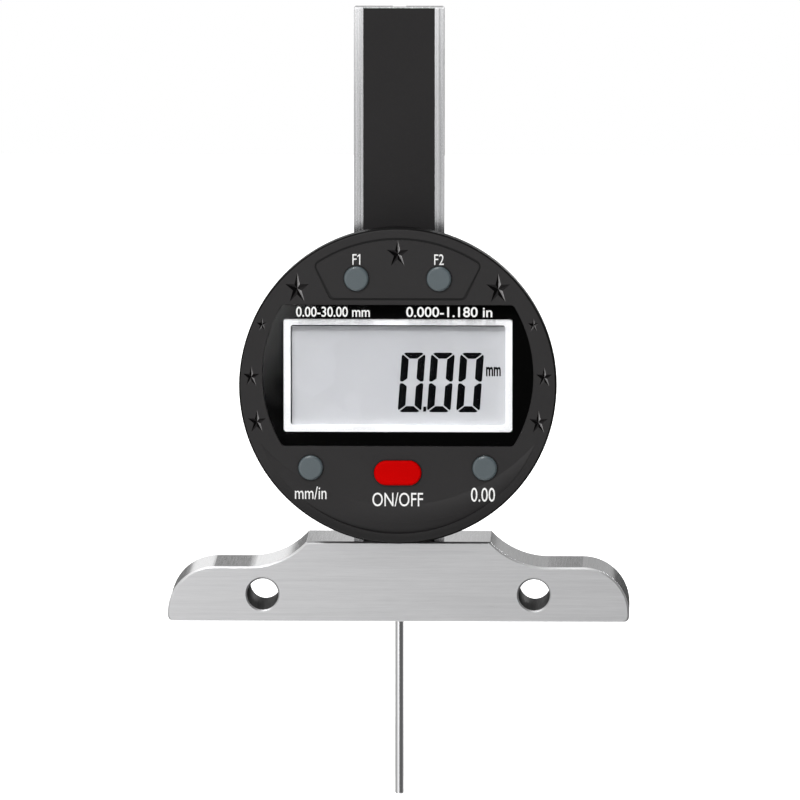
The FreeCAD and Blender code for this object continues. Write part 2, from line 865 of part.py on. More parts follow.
def make_slider_back_plate():
    body = doc.addObject("PartDesign::Body", "back_plate_metal")
    half = frame_half - size.back_plate_margin
    bottom = frame_low + size.back_plate_margin
    tongue = size.tongue_width / 2
    tongue_end = size.base_block_height + size.low_stop_gap - head_height
    pad(body, "back_plate_pad", "XZ_Plane", plate_back, frame_back,
        outline((-tongue, tongue_end), (tongue, tongue_end), (tongue, bottom), (half, bottom),
                (half, plate_top), (-half, plate_top), (-half, bottom), (-tongue, bottom)))
    places = [
        (x, z, size.small_screw_radius, size.small_screw_head, back_screw_length)
        for x, z in back_screw_places
    ]
    places.append(
        (ZERO, anchor_screw_z, size.anchor_screw_radius, size.anchor_screw_head, anchor_screw_length)
    )
    holes = [
        sunk_hole(f"back_plate_hole_{i}", x, z, plate_back, 1, length, radius, head)
        for i, (x, z, radius, head, length) in enumerate(places)
    ]
    node("slider_back_plate", cut("slider_back_plate", body, *holes), on_head=True)
    screws = [
        sunk_screw(f"back_plate_screw_{i}", x, z, plate_back, 1, back_screw_length,
                   size.small_screw_radius, size.small_screw_head)
        for i, (x, z) in enumerate(back_screw_places)
    ]
    node("back_plate_screws", group("back_plate_screws", *screws), on_head=True)


def make_gib():
    bottom, top = frame_low + size.gib_end_gap, frame_high - size.gib_end_gap
    strip = block("gib_strip", gib_left, gib_right, frame_back, lip_back, bottom, top)
    node("gib_strip", strip, on_head=True)
    depth = (frame_back + beam_front) / 2
    screws = []
    for i, z in enumerate(gib_screw_places):
        shank = doc.addObject("Part::Cylinder", f"gib_screw_shank_{i}")
        bind(shank, "Radius", size.gib_screw_radius)
        bind(shank, "Height", frame_half - gib_right)
        place(shank, gib_right, depth, z, TO_RIGHT)
        slot = size.gib_screw_radius * RECESS_WIDTH_SHARE
        driver = block(f"gib_screw_slot_{i}", frame_half - size.gib_screw_radius,
                       frame_half + size.overrun, depth - size.gib_screw_radius - size.overrun,
                       depth + size.gib_screw_radius + size.overrun, z - slot, z + slot)
        screws.append(cut(f"gib_screw_{i}", shank, driver))
    node("gib_set_screws", group("gib_set_screws", *screws), on_head=True)


def make_rod():
    rod_top = anchor_bottom + size.anchor_grip
    tip = -size.travel - head_height
    body = doc.addObject("PartDesign::Body", "depth_rod_steel")
    pad(body, "rod_bar", "XY_Plane", tip, rod_top, circle(ZERO, ZERO, rod_radius))
    chamfer(body, "rod_tip", size.rod_tip_chamfer,
            lambda edge: abs(edge.BoundBox.ZMax - tip.number) < SAME and edge.BoundBox.ZLength < SAME)
    node("depth_rod", body, on_head=True)
    anchor = block("rod_anchor_block", -anchor_half, anchor_half,
                   frame_back, rod_radius + size.anchor_front_wall, anchor_bottom, plate_top)
    bore = post("rod_anchor_bore", rod_radius, anchor_bottom - size.overrun, rod_top)
    thread = disc("rod_anchor_thread", ZERO, anchor_screw_z, size.anchor_screw_radius,
                  frame_back - size.overrun, frame_back + size.anchor_screw_reach)
    node("rod_anchor", cut("rod_anchor", anchor, bore, thread), on_head=True)
    screw = sunk_screw("rod_anchor_screw", ZERO, anchor_screw_z, plate_back, 1, anchor_screw_length,
                       size.anchor_screw_radius, size.anchor_screw_head)
    node("rod_anchor_screw", screw, on_head=True)


# Buttons: name, across, up and half of the straight middle of an obround cap

button_radius = size.button_diameter / 2
top_button_z = window_high + size.top_button_gap + button_radius
side_button_z = window_low - size.side_button_gap - button_radius
power_button_z = window_low - size.power_button_gap - button_radius
BUTTONS = {
    "set_button": (-size.top_button_spacing / 2, top_button_z, ZERO),
    "hold_button": (size.top_button_spacing / 2, top_button_z, ZERO),
    "unit_button": (-size.side_button_spacing / 2, side_button_z, ZERO),
    "power_button": (ZERO, power_button_z, (size.power_button_length - size.button_diameter) / 2),
    "zero_button": (size.side_button_spacing / 2, side_button_z, ZERO),
}
face_back = size.face_front - size.face_thickness
board_back = frame_front
board_front = board_back + size.board_thickness
switch_top = board_front + size.switch_height
plunger_top = switch_top + size.plunger_rise
flange_front = face_back - size.running_gap
flange_back = flange_front - size.button_flange_height


def cap(name, x, z, straight, radius, back, front):
    """A round or obround prism along the depth."""
    if straight.formula == "0":
        return disc(name, x, z, radius, back, front)
    return fuse(
        name,
        disc(f"{name}_left", x - straight, z, radius, back, front),
        disc(f"{name}_right", x + straight, z, radius, back, front),
        block(f"{name}_middle", x - straight, x + straight, back, front, z - radius, z + radius),
    )


def chamfered(name, solid, amount, depth):
    """Chamfer the edges of a solid that lie in the plane at a depth."""
    doc.recompute()
    made = doc.addObject("Part::Chamfer", name)
    made.Base = solid
    made.Edges = [
        (i, amount.number, amount.number)
        for i, edge in enumerate(solid.Shape.Edges, start=1)
        if abs(edge.BoundBox.YMin + depth.number) < SAME
        and edge.BoundBox.YLength < SAME
    ]
    return made


def make_buttons():
    radius = button_radius
    proud = size.face_front + size.button_proud
    for name, (x, z, straight) in BUTTONS.items():
        top = chamfered(f"{name}_top", cap(f"{name}_cap", x, z, straight, radius, flange_back, proud),
                        size.button_edge, proud)
        flange = cap(f"{name}_flange", x, z, straight, radius + size.button_flange, flange_back, flange_front)
        stem = disc(f"{name}_stem", x, z, size.button_stem, plunger_top, flange_front)
        node(name, fuse(name, top, flange, stem), on_head=True)
        plunger = disc(f"{name}_plunger", x, z, size.plunger_radius,
                       switch_top - size.switch_well + size.button_travel + size.plunger_play, plunger_top)
        node(f"{name}_plunger", plunger, on_head=True)


def make_switches():
    half = size.switch_width / 2
    switches = [
        cut(
            f"{name}_switch",
            block(f"{name}_case", x - half, x + half, board_front, switch_top, z - half, z + half),
            disc(f"{name}_well", x, z, size.plunger_radius + size.running_gap,
                 switch_top - size.switch_well, switch_top + size.overrun),
        )
        for name, (x, z, straight) in BUTTONS.items()
    ]
    node("switch_bodies", group("switch_bodies", *switches), on_head=True)


# Display and circuit board

window_back = face_back + size.mask_thickness
window_front = size.face_front - size.window_inset
bezel_front = face_back - size.running_gap
glass_front = bezel_front - size.bezel_lip
glass_back = glass_front - size.glass_thickness


def window_outline(grow, corner):
    """The window's outline, grown or shrunk: a circle with a flat top and bottom and round corners."""
    radius = window_radius + grow
    reach = size.window_half_height + grow
    small = radius - corner
    flat = (small * small - (reach - corner) * (reach - corner)).root()
    side = flat * radius / small
    end = (reach - corner) * radius / small
    z = size.window_offset
    return outline(
        (-flat, z - reach),
        (flat, z - reach, corner, True),
        (side, z - end, radius, True),
        (side, z + end, corner, True),
        (flat, z + reach),
        (-flat, z + reach, corner, True),
        (-side, z + end, radius, True),
        (-side, z - end, corner, True),
    )


def window_prism(name, grow, corner, back, front):
    body = doc.addObject("PartDesign::Body", name)
    pad(body, f"{name}_pad", "XZ_Plane", back, front, window_outline(grow, corner))
    return body


def make_window():
    glass = window_prism("window_glass", ZERO, size.window_corner, window_back, window_front)
    node("window", glass, on_head=True)
    mask = doc.addObject("PartDesign::Body", "window_mask_print")
    pad(mask, "mask_pad", "XZ_Plane", face_back, window_back, window_outline(ZERO, size.window_corner),
        rectangle(-bezel_half, size.display_offset - bezel_up, bezel_half, size.display_offset + bezel_up))
    node("window_mask", mask, on_head=True)


def make_display():
    body = doc.addObject("PartDesign::Body", "lcd_frame_plastic")
    z = size.display_offset
    wide = bezel_half + size.bezel_hidden
    pad(body, "lcd_frame_pad", "XZ_Plane", board_front, bezel_front,
        rounded(-wide, display_low, wide, display_high, size.bezel_corner))
    view, view_high = bezel_half - size.bezel_side_width, bezel_up - size.bezel_band_width
    pocket(body, "lcd_view", "XZ_Plane", board_front - size.overrun, bezel_front + size.overrun,
           rounded(-view, z - view_high, view, z + view_high, size.view_corner))
    glass = view + size.glass_margin
    glass_high = view_high + size.glass_margin
    gap = size.glass_gap
    pocket(body, "lcd_seat", "XZ_Plane", board_front - size.overrun, glass_front,
           rectangle(-glass - gap, z - glass_high - gap, glass + gap, z + glass_high + gap))
    node("lcd_frame", body, on_head=True)
    panel = block("lcd_glass", -glass, glass, glass_back, glass_front, z - glass_high, z + glass_high)
    node("lcd_glass", panel, on_head=True)
    long = glass - size.zebra_inset
    outer = glass_high - size.zebra_inset
    strips = [
        block("zebra_strip_low", -long, long, board_front, glass_back,
              z - outer, z - outer + size.zebra_width),
        block("zebra_strip_high", -long, long, board_front, glass_back,
              z + outer - size.zebra_width, z + outer),
    ]
    node("zebra_strips", group("zebra_strips", *strips), on_head=True)


def make_board():
    reach = inside_radius - size.board_gap
    plate = disc("board_disc", ZERO, ZERO, reach, board_back, board_front)
    low, high = board_back - size.overrun, board_front + size.overrun
    notches = [
        disc(f"board_notch_{i}", x, z, size.board_notch, low, high) for i, (x, z) in enumerate(boss_places)
    ]
    holes = [
        disc(f"board_screw_hole_{i}", x, z, size.small_screw_radius + size.running_gap, low, high)
        for i, (x, z) in enumerate(board_screw_places)
    ]
    node("main_board", cut("main_board", plate, *notches, *holes), on_head=True)
    screws = [
        pan_screw(f"board_screw_{i}", x, z, board_front, -1, board_screw_length,
                  size.small_screw_radius, size.small_screw_head)
        for i, (x, z) in enumerate(board_screw_places)
    ]
    node("board_screws", group("board_screws", *screws), on_head=True)
    x, z = reach * CHIP_SHARES[0], reach * CHIP_SHARES[1]
    half, up = size.chip_width / 2, size.chip_height / 2
    chip = chamfered("reader_chip", block("reader_chip_block", x - half, x + half, board_front,
                                          board_front + size.chip_thickness, z - up, z + up),
                     size.chip_thickness * CHIP_CHAMFER_SHARE, board_front + size.chip_thickness)
    long, wide = size.capacitor_length / 2, size.capacitor_width / 2
    capacitors = [
        block(f"capacitor_{i}", reach * across - long, reach * across + long, board_front,
              board_front + size.capacitor_width, reach * up - wide, reach * up + wide)
        for i, (across, up) in enumerate(CAPACITOR_SHARES)
    ]
    crystal = doc.addObject("Part::Cylinder", "crystal")
    bind(crystal, "Radius", size.crystal_radius)
    bind(crystal, "Height", size.crystal_length)
    place(crystal, reach * CRYSTAL_SHARES[0], board_front + size.crystal_radius, reach * CRYSTAL_SHARES[1])
    node("board_components", group("board_components", chip, crystal, *capacitors), on_head=True)


# Battery and its compartment

battery_front = plate_back - size.battery_plate_gap - size.well_floor - size.contact_thickness
battery_back = battery_front - size.battery_thickness
contact_front = battery_front + size.contact_thickness
well_radius = size.battery_radius + size.battery_gap
well_front = contact_front + size.well_floor
cover_inner = battery_back - size.cover_boss_height
rear_face = cover_inner - size.cover_thickness
cover_radius = well_radius + size.cover_seat_width
cover_boss_radius = cover_radius - size.cover_rim_width
lug_radius = cover_radius + size.lug_width
lug_front = cover_inner + size.lug_thickness
lug_seat = lug_front + size.lug_gap
lug_groove_radius = lug_radius + size.cover_gap * 2
cover_hole_radius = cover_radius + size.cover_gap
leg_inner = frame_half + size.contact_leg_gap
leg_outer = leg_inner + size.contact_thickness
lug_angles = [known(90 + 360 / LUGS * i) for i in range(LUGS)]


def make_battery():
    leaf_front = battery_front - size.battery_cap_height
    node("battery", fuse(
        "battery",
        disc("battery_can", ZERO, ZERO, size.battery_radius, battery_back, leaf_front),
        disc("battery_cap", ZERO, ZERO, size.battery_cap_radius, battery_back, battery_front),
    ), on_head=True)
    thick, wide = size.contact_thickness, size.contact_width / 2
    edge = size.battery_radius
    node("battery_contact_positive", fuse(
        "battery_contact_positive",
        block("positive_leaf", edge, edge + thick, battery_back + thick, leaf_front, -wide, wide),
        block("positive_run", edge, leg_outer, leaf_front - thick, leaf_front, -wide, wide),
        block("positive_leg", leg_inner, leg_outer, leaf_front - thick, board_back, -wide, wide),
    ), on_head=True)
    node("battery_contact_negative", fuse(
        "battery_contact_negative",
        block("negative_leaf", -leg_outer, size.battery_cap_radius / 2, battery_front, contact_front,
              -wide, wide),
        block("negative_leg", -leg_outer, -leg_inner, battery_front, board_back, -wide, wide),
    ), on_head=True)


def make_battery_cover():
    back = rear_face
    lugs = [
        sector(f"cover_lug_{i}", lug_radius, angle, size.lug_angle, cover_inner, lug_front)
        for i, angle in enumerate(lug_angles)
    ]
    trimmed = cut(
        "cover_lugs_open",
        fuse("cover_lugs", *lugs),
        disc("cover_lug_trim", ZERO, ZERO, cover_boss_radius - size.cover_gap,
             cover_inner - size.overrun, lug_front + size.overrun),
    )
    solid = fuse(
        "cover_solid",
        disc("cover_disc", ZERO, ZERO, cover_radius, back, cover_inner),
        disc("cover_boss", ZERO, ZERO, cover_boss_radius, cover_inner, battery_back - size.running_gap),
        trimmed,
    )
    seal_outer = cover_radius + size.cover_gap / 2
    seal_inner = seal_outer - size.seal_width
    seal_back = back + (size.cover_thickness - size.seal_height) / 2
    seal_front = seal_back + size.seal_height
    groove = cut(
        "seal_groove",
        disc("seal_groove_outer", ZERO, ZERO, cover_radius + size.overrun, seal_back, seal_front),
        disc("seal_groove_inner", ZERO, ZERO, seal_inner,
             seal_back - size.overrun, seal_front + size.overrun),
    )
    long, wide = size.coin_slot_length / 2, size.coin_slot_width / 2
    slot = block("coin_slot", -long, long, back - size.overrun, back + size.coin_slot_depth, -wide, wide)
    node("battery_cover", cut("battery_cover", solid, groove, slot), on_head=True)
    seal = cut(
        "battery_cover_seal",
        disc("seal_outer", ZERO, ZERO, seal_outer, seal_back, seal_front),
        disc("seal_inner", ZERO, ZERO, seal_inner, seal_back - size.overrun, seal_front + size.overrun),
    )
    node("battery_cover_seal", seal, on_head=True)


# Housing


def make_rear_cover():
    body = doc.addObject("PartDesign::Body", "rear_shell")
    outer, back, corner = rear_radius, -rear_face, size.rear_chamfer
    inner = outer - size.rear_wall
    spigot = skirt_radius - size.skirt_wall - size.spigot_gap
    front = -part_line
    revolve(
        body,
        "rear_profile",
        outline(
            (back, ZERO),
            (back, outer - corner),
            (back - corner, outer),
            (front, outer),
            (front, spigot),
            (front - size.spigot_height, spigot),
            (front - size.spigot_height, inner),
            (back - size.rear_back_wall, inner),
            (back - size.rear_back_wall, ZERO),
        ),
    )
    wall_front = size.rear_back_wall - back
    well = disc("well_cup", ZERO, ZERO, well_radius + size.well_wall, wall_front, well_front)
    rim = disc("well_rim", ZERO, ZERO, lug_groove_radius + size.lug_wall,
               wall_front, lug_seat + size.lug_thickness)
    bosses = [
        disc(f"rear_boss_{i}", x, z, size.rear_boss_radius, wall_front, ear_back)
        for i, (x, z) in enumerate(boss_places)
    ]
    solid = fuse("rear_solid", body, well, rim, *bosses)
    past = size.overrun
    side = size.beam_width / 2 + size.slot_gap
    tongue = size.tongue_width / 2 + size.slot_gap
    reach = outer + past
    slot = size.contact_width / 2 + size.battery_gap
    slot_reach = leg_outer + size.battery_gap
    tools = [
        block("beam_slot", -side, side, -size.beam_back - size.slot_gap, beam_front + size.slot_gap,
              -reach, reach),
        block("tongue_slot", -tongue, tongue, plate_back - size.slot_gap, -size.beam_back,
              -reach, -well_radius),
        disc("well_bore", ZERO, ZERO, well_radius, cover_inner, contact_front - size.contact_thickness),
        disc("cover_hole", ZERO, ZERO, cover_hole_radius, -back - past, cover_inner),
        disc("lug_groove", ZERO, ZERO, lug_groove_radius, cover_inner - size.running_gap, lug_seat),
        block("contact_slot", -slot_reach, slot_reach, battery_back + size.battery_gap, contact_front,
              -slot, slot),
    ]
    tools += [
        sector(f"lug_notch_{i}", lug_groove_radius, angle - size.lug_turn, size.lug_notch_angle,
               -back - past, cover_inner)
        for i, angle in enumerate(lug_angles)
    ]
    sink = size.housing_screw_sink - back
    for i, (x, z) in enumerate(boss_places):
        tools.append(disc(f"rear_counterbore_{i}", x, z, size.housing_screw_head + size.cover_gap,
                          -back - past, sink))
        tools.append(disc(f"rear_screw_way_{i}", x, z, size.housing_screw_radius + size.running_gap,
                          sink - size.rear_back_wall, ear_back + past))
    node("rear_cover", cut("rear_cover", solid, *tools), on_head=True)
    length = frame_front + size.housing_screw_reach - sink
    screws = [
        pan_screw(f"housing_screw_{i}", x, z, sink, 1, length,
                  size.housing_screw_radius, size.housing_screw_head)
        for i, (x, z) in enumerate(boss_places)
    ]
    node("housing_screws", group("housing_screws", *screws), on_head=True)


def star(name, across, up, radius):
    """A sunk five-pointed star: a pyramid on a star outline, whose apex lies under the face."""
    face, deep = size.face_front.number, size.star_depth.number
    proud = deep * STAR_OVERRUN_SHARE
    grown = radius * (deep + proud) / deep
    apex = FreeCAD.Vector(across, deep - face, up)
    points = []
    for i in range(2 * STAR_POINTS):
        reach = grown if i % 2 == 0 else grown * STAR_INNER_SHARE
        angle = math.pi / 2 + i * math.pi / STAR_POINTS
        x = across + reach * math.cos(angle)
        z = up + reach * STAR_TALL_SHARE * math.sin(angle)
        points.append(FreeCAD.Vector(x, -face - proud, z))
    top = Part.Face(Part.makePolygon(points + points[:1]))
    sides = [
        Part.Face(Part.makePolygon([points[i - 1], points[i], apex, points[i - 1]]))
        for i in range(len(points))
    ]
    made = doc.addObject("Part::Feature", name)
    made.Shape = Part.makeSolid(Part.makeShell([top] + sides))
    return made


def star_tools():
    rim = size.rim_radius.number
    tools = []
    for i, (across, up, radius) in enumerate(STAR_SHARES):
        for side in ((1,) if across == 0 else (-1, 1)):
            tools.append(star(f"star_{i}_{side + 1}", side * across * rim, up * rim, radius * rim))
    return tools


def panel_prism(name, grow, back, front):
    """The panel round the upper buttons: an arc that follows the rim, two slanted sides and a flat base."""
    body = doc.addObject("PartDesign::Body", name)
    radius = size.rim_radius - size.panel_margin + grow
    top = size.panel_top_width / 2 + grow
    low = size.panel_low_width / 2 + grow
    base = window_high + size.panel_gap - grow
    rise = across(radius, top)
    pad(body, f"{name}_pad", "XZ_Plane", back, front,
        outline((-low, base), (low, base), (top, rise, radius, True), (-top, rise)))
    fillet(body, f"{name}_corners", size.panel_corner + grow,
           lambda edge: edge.BoundBox.XLength < SAME and edge.BoundBox.ZLength < SAME)
    return body


def crescent_tools():
    """The crescent under the display: a low rounded lip, and the slope that falls from it to the rim."""
    face = -size.face_front
    limit_radius = size.rim_radius - size.crescent_margin
    end = limit_radius + size.crescent_offset
    crest = end - size.crescent_slope_width
    start = crest - size.crescent_lip_width
    half = size.crescent_lip_width / 2
    bow = (half * half + size.crescent_rise * size.crescent_rise) / (size.crescent_rise * 2)
    lip = doc.addObject("PartDesign::Body", "crescent_lip_ring")
    bind(lip, "Placement.Base.z", size.crescent_offset)
    sunk = face + size.crescent_fall
    lip_outline = outline((sunk, start), (sunk, crest), (face, crest, bow, True), (face, start))
    revolve(lip, "crescent_lip_profile", lip_outline)
    slope = doc.addObject("PartDesign::Body", "crescent_slope_ring")
    bind(slope, "Placement.Base.z", size.crescent_offset)
    far = end + size.overrun
    ramp = size.crescent_fall * (far - crest) / (end - crest)
    above = face - size.overrun
    slope_outline = outline((above, crest), (face, crest), (face + ramp, far), (above, far))
    revolve(slope, "crescent_slope_profile", slope_outline)
    limit = [
        disc(f"crescent_limit_{i}", ZERO, ZERO, limit_radius, face_back, size.face_front + size.overrun * 2)
        for i in range(2)
    ]
    return common("crescent_lip", lip, limit[0]), common("crescent_slope", slope, limit[1])


def make_front_cover():
    body = doc.addObject("PartDesign::Body", "front_shell")
    face, edge = -size.face_front, size.face_chamfer
    rim, skirt = size.rim_radius, skirt_radius
    inner = skirt - size.skirt_wall
    step = face + size.rim_depth
    revolve(
        body,
        "front_profile",
        outline(
            (face, ZERO),
            (face, rim - edge),
            (face + edge, rim),
            (step, rim),
            (step, skirt),
            (-part_line, skirt),
            (-part_line, inner),
            (-face_back, inner),
            (-face_back, ZERO),
        ),
    )
    past = size.overrun
    rib_back = face_back - size.ledge_depth
    rib = window_prism("ledge_rib", size.ledge_rib, size.window_corner, rib_back, face_back)
    bosses = [
        common(f"front_boss_{i}",
               disc(f"front_boss_post_{i}", x, z, size.front_boss_radius, frame_front, face_back),
               disc(f"front_boss_limit_{i}", ZERO, ZERO, inside_radius, frame_front, face_back))
        for i, (x, z) in enumerate(boss_places)
    ]
    lip, slope = crescent_tools()
    opening = window_prism("window_opening", -size.ledge_width, size.view_corner,
                           rib_back - past, window_back)
    hollow = cut("front_hollow", fuse("front_ribbed", body, rib), opening)
    solid = fuse("front_solid", hollow, lip, *bosses)
    button = button_radius + size.button_gap
    holes = [
        cap(f"{name}_hole", x, z, straight, button, face_back - past, size.face_front + past)
        for name, (x, z, straight) in BUTTONS.items()
    ]
    half_line = size.panel_line / 2
    line_back, line_front = size.face_front - size.panel_line_depth, size.face_front + past
    line = cut(
        "panel_line",
        panel_prism("panel_outer", half_line, line_back, line_front),
        panel_prism("panel_inner", -half_line, line_back - past, line_front + past),
    )
    pilots = [
        disc(f"front_pilot_{i}", x, z, size.housing_screw_radius, frame_front - past,
             frame_front + size.housing_screw_reach)
        for i, (x, z) in enumerate(boss_places)
    ]
    recess = window_prism("window_recess", size.window_gap, size.window_corner,
                          face_back, size.face_front + past)
    stars = group("stars", *star_tools())
    plain = cut("front_plain", solid, recess, slope, *holes, line, *pilots)
    node("front_cover", cut("front_cover", plain, stars), on_head=True)


make_base()
make_beam()
make_scale()
make_beam_fasteners()
make_slider_frame()
make_slider_back_plate()
make_gib()
make_rod()
make_buttons()
make_switches()
make_window()
make_display()
make_board()
make_battery()
make_battery_cover()
make_rear_cover()
make_front_cover()
doc.recompute()

faults = [f"{item.Name}: {item.State}" for item in doc.Objects if {"Invalid", "Error"} & set(item.State)]
for name, made in nodes.items():
    shape = made.Shape
    if shape.isNull() or not shape.isValid() or not shape.Solids:
        faults.append(f"{name}: no valid solid")
if faults:
    raise RuntimeError("; ".join(faults))

os.makedirs("parts", exist_ok=True)
for name, made in nodes.items():
    made.Shape.exportStep(f"parts/{name}.step")
    box = made.Shape.BoundBox
    print(f"{name}: {len(made.Shape.Solids)} solids, {made.Shape.Volume:.2f} mm3, "
          f"{box.XLength:.2f} x {box.YLength:.2f} x {box.ZLength:.2f}")
print(len(nodes), "nodes")
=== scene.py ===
"""Looks of the digital depth gauge: materials, printed pieces, camera, floor, sky and lamps."""

import math

import bmesh
import bpy
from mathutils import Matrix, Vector
from mathutils.bvhtree import BVHTree


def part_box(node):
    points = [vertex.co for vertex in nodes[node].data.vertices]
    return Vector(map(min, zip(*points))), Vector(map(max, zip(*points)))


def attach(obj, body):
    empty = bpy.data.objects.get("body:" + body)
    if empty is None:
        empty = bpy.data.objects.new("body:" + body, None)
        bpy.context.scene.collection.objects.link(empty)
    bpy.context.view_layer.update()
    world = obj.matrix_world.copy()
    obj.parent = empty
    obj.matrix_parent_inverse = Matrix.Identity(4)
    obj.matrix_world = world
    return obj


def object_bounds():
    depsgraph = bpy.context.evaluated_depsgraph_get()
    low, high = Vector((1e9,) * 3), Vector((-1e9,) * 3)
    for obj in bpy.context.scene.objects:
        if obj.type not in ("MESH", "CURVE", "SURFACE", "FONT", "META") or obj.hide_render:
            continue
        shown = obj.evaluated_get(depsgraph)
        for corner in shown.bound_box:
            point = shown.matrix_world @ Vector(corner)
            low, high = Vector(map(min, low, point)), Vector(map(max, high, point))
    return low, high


MM = 0.001

# Middle of the dial in x and z, and the radius of its rim
DIAL = (0, 42.6 * MM)
RIM = 28.1 * MM

# Circles round the middle of the dial, by their radii: the face inside the cover's rounded edge,
# which is darkened outside it as painted shade, the part that is quite flat, the start of the
# lower rim's painted shade and the middle panel
FACE_RADIUS = RIM - 0.32 * MM
FLAT_RADIUS = RIM - 0.62 * MM
LOW_RIM_SHADE_RADIUS = 25.6 * MM
PANEL_RADIUS = 24.4 * MM

# Cross holes of the base: their axes in x and z, and their radius
CROSS_HOLES = ((-24.1 * MM, 4.85 * MM), (24.1 * MM, 4.85 * MM))
CROSS_HOLE_RADIUS = 2.75 * MM

# Stars on the cover: across and up from the middle of the dial, and reach, as shares of the rim
STARS = (
    (0.0, 0.836, 0.072),
    (0.632, 0.616, 0.079),
    (0.854, 0.388, 0.036),
    (0.922, 0.057, 0.053),
    (0.886, -0.228, 0.060),
)
# A star's widest point lies a little beyond its reach, because the stars are taller than wide
STAR_MARGIN = 1.27
# The way that a star's lit facets lean, which decides their painted highlight and the painted
# shade of facets turned away, and the slope that all lit facets are shaded with
STAR_LIGHT = (-0.951, 0, -0.309)
STAR_FACET = (-0.593, -0.781, -0.193)

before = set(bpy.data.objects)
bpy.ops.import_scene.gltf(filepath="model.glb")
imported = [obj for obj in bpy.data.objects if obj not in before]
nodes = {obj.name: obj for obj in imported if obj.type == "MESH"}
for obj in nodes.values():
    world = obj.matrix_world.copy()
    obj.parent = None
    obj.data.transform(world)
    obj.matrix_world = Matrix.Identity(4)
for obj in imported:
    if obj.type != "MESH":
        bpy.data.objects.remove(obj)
start_low, start_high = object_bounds()

scene = bpy.context.scene
scene.view_settings.view_transform = "Standard"


# Node tree helpers

# How noise is squeezed: not at all, or into lines along an axis
EVEN = (1, 1, 1)
ALONG_X = (0.03, 1, 1)
ALONG_Y = (1, 0.03, 1)
ALONG_Z = (1, 1, 0.03)


def new_material(name):
    """A material with an empty tree, its Principled shader and its output."""
    material = bpy.data.materials.new(name)
    material.use_nodes = True
    tree = material.node_tree
    tree.nodes.clear()
    output = tree.nodes.new("ShaderNodeOutputMaterial")
    shader = tree.nodes.new("ShaderNodeBsdfPrincipled")
    tree.links.new(shader.outputs["BSDF"], output.inputs["Surface"])
    return material, tree, shader


def open_to(tree, shader, ray):
    """Makes a material transparent to one kind of ray, and returns its Light Path node."""
    path = tree.nodes.new("ShaderNodeLightPath")
    clear = tree.nodes.new("ShaderNodeBsdfTransparent")
    mixer = tree.nodes.new("ShaderNodeMixShader")
    output = next(node for node in tree.nodes if node.type == "OUTPUT_MATERIAL")
    tree.links.new(path.outputs[ray], mixer.inputs[0])
    tree.links.new(shader.outputs["BSDF"], mixer.inputs[1])
    tree.links.new(clear.outputs["BSDF"], mixer.inputs[2])
    tree.links.new(mixer.outputs["Shader"], output.inputs["Surface"])
    return path


def scaled(colour, share):
    """A colour with all its channels multiplied by a share."""
    return tuple(channel * share for channel in colour)


def place(tree, stretch=EVEN):
    """Coordinates in millimetres of the object's own frame, squeezed by stretch."""
    coordinate = tree.nodes.new("ShaderNodeTexCoord")
    mapping = tree.nodes.new("ShaderNodeMapping")
    mapping.inputs["Scale"].default_value = [share / MM for share in stretch]
    tree.links.new(coordinate.outputs["Object"], mapping.inputs["Vector"])
    return mapping.outputs["Vector"]


def noise(tree, stretch, scale, detail=3.0, roughness=0.55):
    """Noise whose cells are 1 / scale mm across before they are stretched."""
    texture = tree.nodes.new("ShaderNodeTexNoise")
    texture.inputs["Scale"].default_value = scale
    texture.inputs["Detail"].default_value = detail
    texture.inputs["Roughness"].default_value = roughness
    tree.links.new(place(tree, stretch), texture.inputs["Vector"])
    return texture.outputs["Fac"]


def spread(tree, value, low, high, from_low=0.3, from_high=0.7):
    """The value carried from one range to another, held at both ends."""
    ranger = tree.nodes.new("ShaderNodeMapRange")
    ranger.inputs["From Min"].default_value = from_low
    ranger.inputs["From Max"].default_value = from_high
    ranger.inputs["To Min"].default_value = low
    ranger.inputs["To Max"].default_value = high
    tree.links.new(value, ranger.inputs["Value"])
    return ranger.outputs["Result"]


def smooth_step(tree, value, start, end):
    """0 before start, 1 after end, and a smooth step between them."""
    stepper = tree.nodes.new("ShaderNodeMapRange")
    stepper.interpolation_type = "SMOOTHSTEP"
    falling = start > end
    stepper.inputs["From Min"].default_value = min(start, end)
    stepper.inputs["From Max"].default_value = max(start, end)
    stepper.inputs["To Min"].default_value = 1 if falling else 0
    stepper.inputs["To Max"].default_value = 0 if falling else 1
    tree.links.new(value, stepper.inputs["Value"])
    return stepper.outputs["Result"]


def fill_socket(tree, socket, value):
    """Links a socket to an input, or gives the input a plain value."""
    if isinstance(value, bpy.types.NodeSocket):
        tree.links.new(value, socket)
    else:
        socket.default_value = value


def blend_colours(tree, factor, first, second):
    """Mixes two colours, each a plain colour or a socket."""
    mixer = tree.nodes.new("ShaderNodeMix")
    mixer.data_type = "RGBA"
    for socket, colour in ((mixer.inputs[6], first), (mixer.inputs[7], second)):
        fill_socket(tree, socket, (*colour, 1) if isinstance(colour, tuple) else colour)
    tree.links.new(factor, mixer.inputs[0])
    return mixer.outputs[2]


def blend_values(tree, share, first, second):
    """From the first number to the second by a share, each a number or a socket."""
    mixer = tree.nodes.new("ShaderNodeMix")
    for index, value in ((0, share), (2, first), (3, second)):
        fill_socket(tree, mixer.inputs[index], value)
    return mixer.outputs[0]


def combine(tree, operation, first, second):
    """Two number sockets brought together by a Math node."""
    math_node = tree.nodes.new("ShaderNodeMath")
    math_node.operation = operation
    tree.links.new(first, math_node.inputs[0])
    tree.links.new(second, math_node.inputs[1])
    return math_node.outputs["Value"]


def add_values(tree, first, second):
    """Sum of two number sockets."""
    return combine(tree, "ADD", first, second)


def multiply(tree, first, second):
    """Product of two number sockets."""
    return combine(tree, "MULTIPLY", first, second)


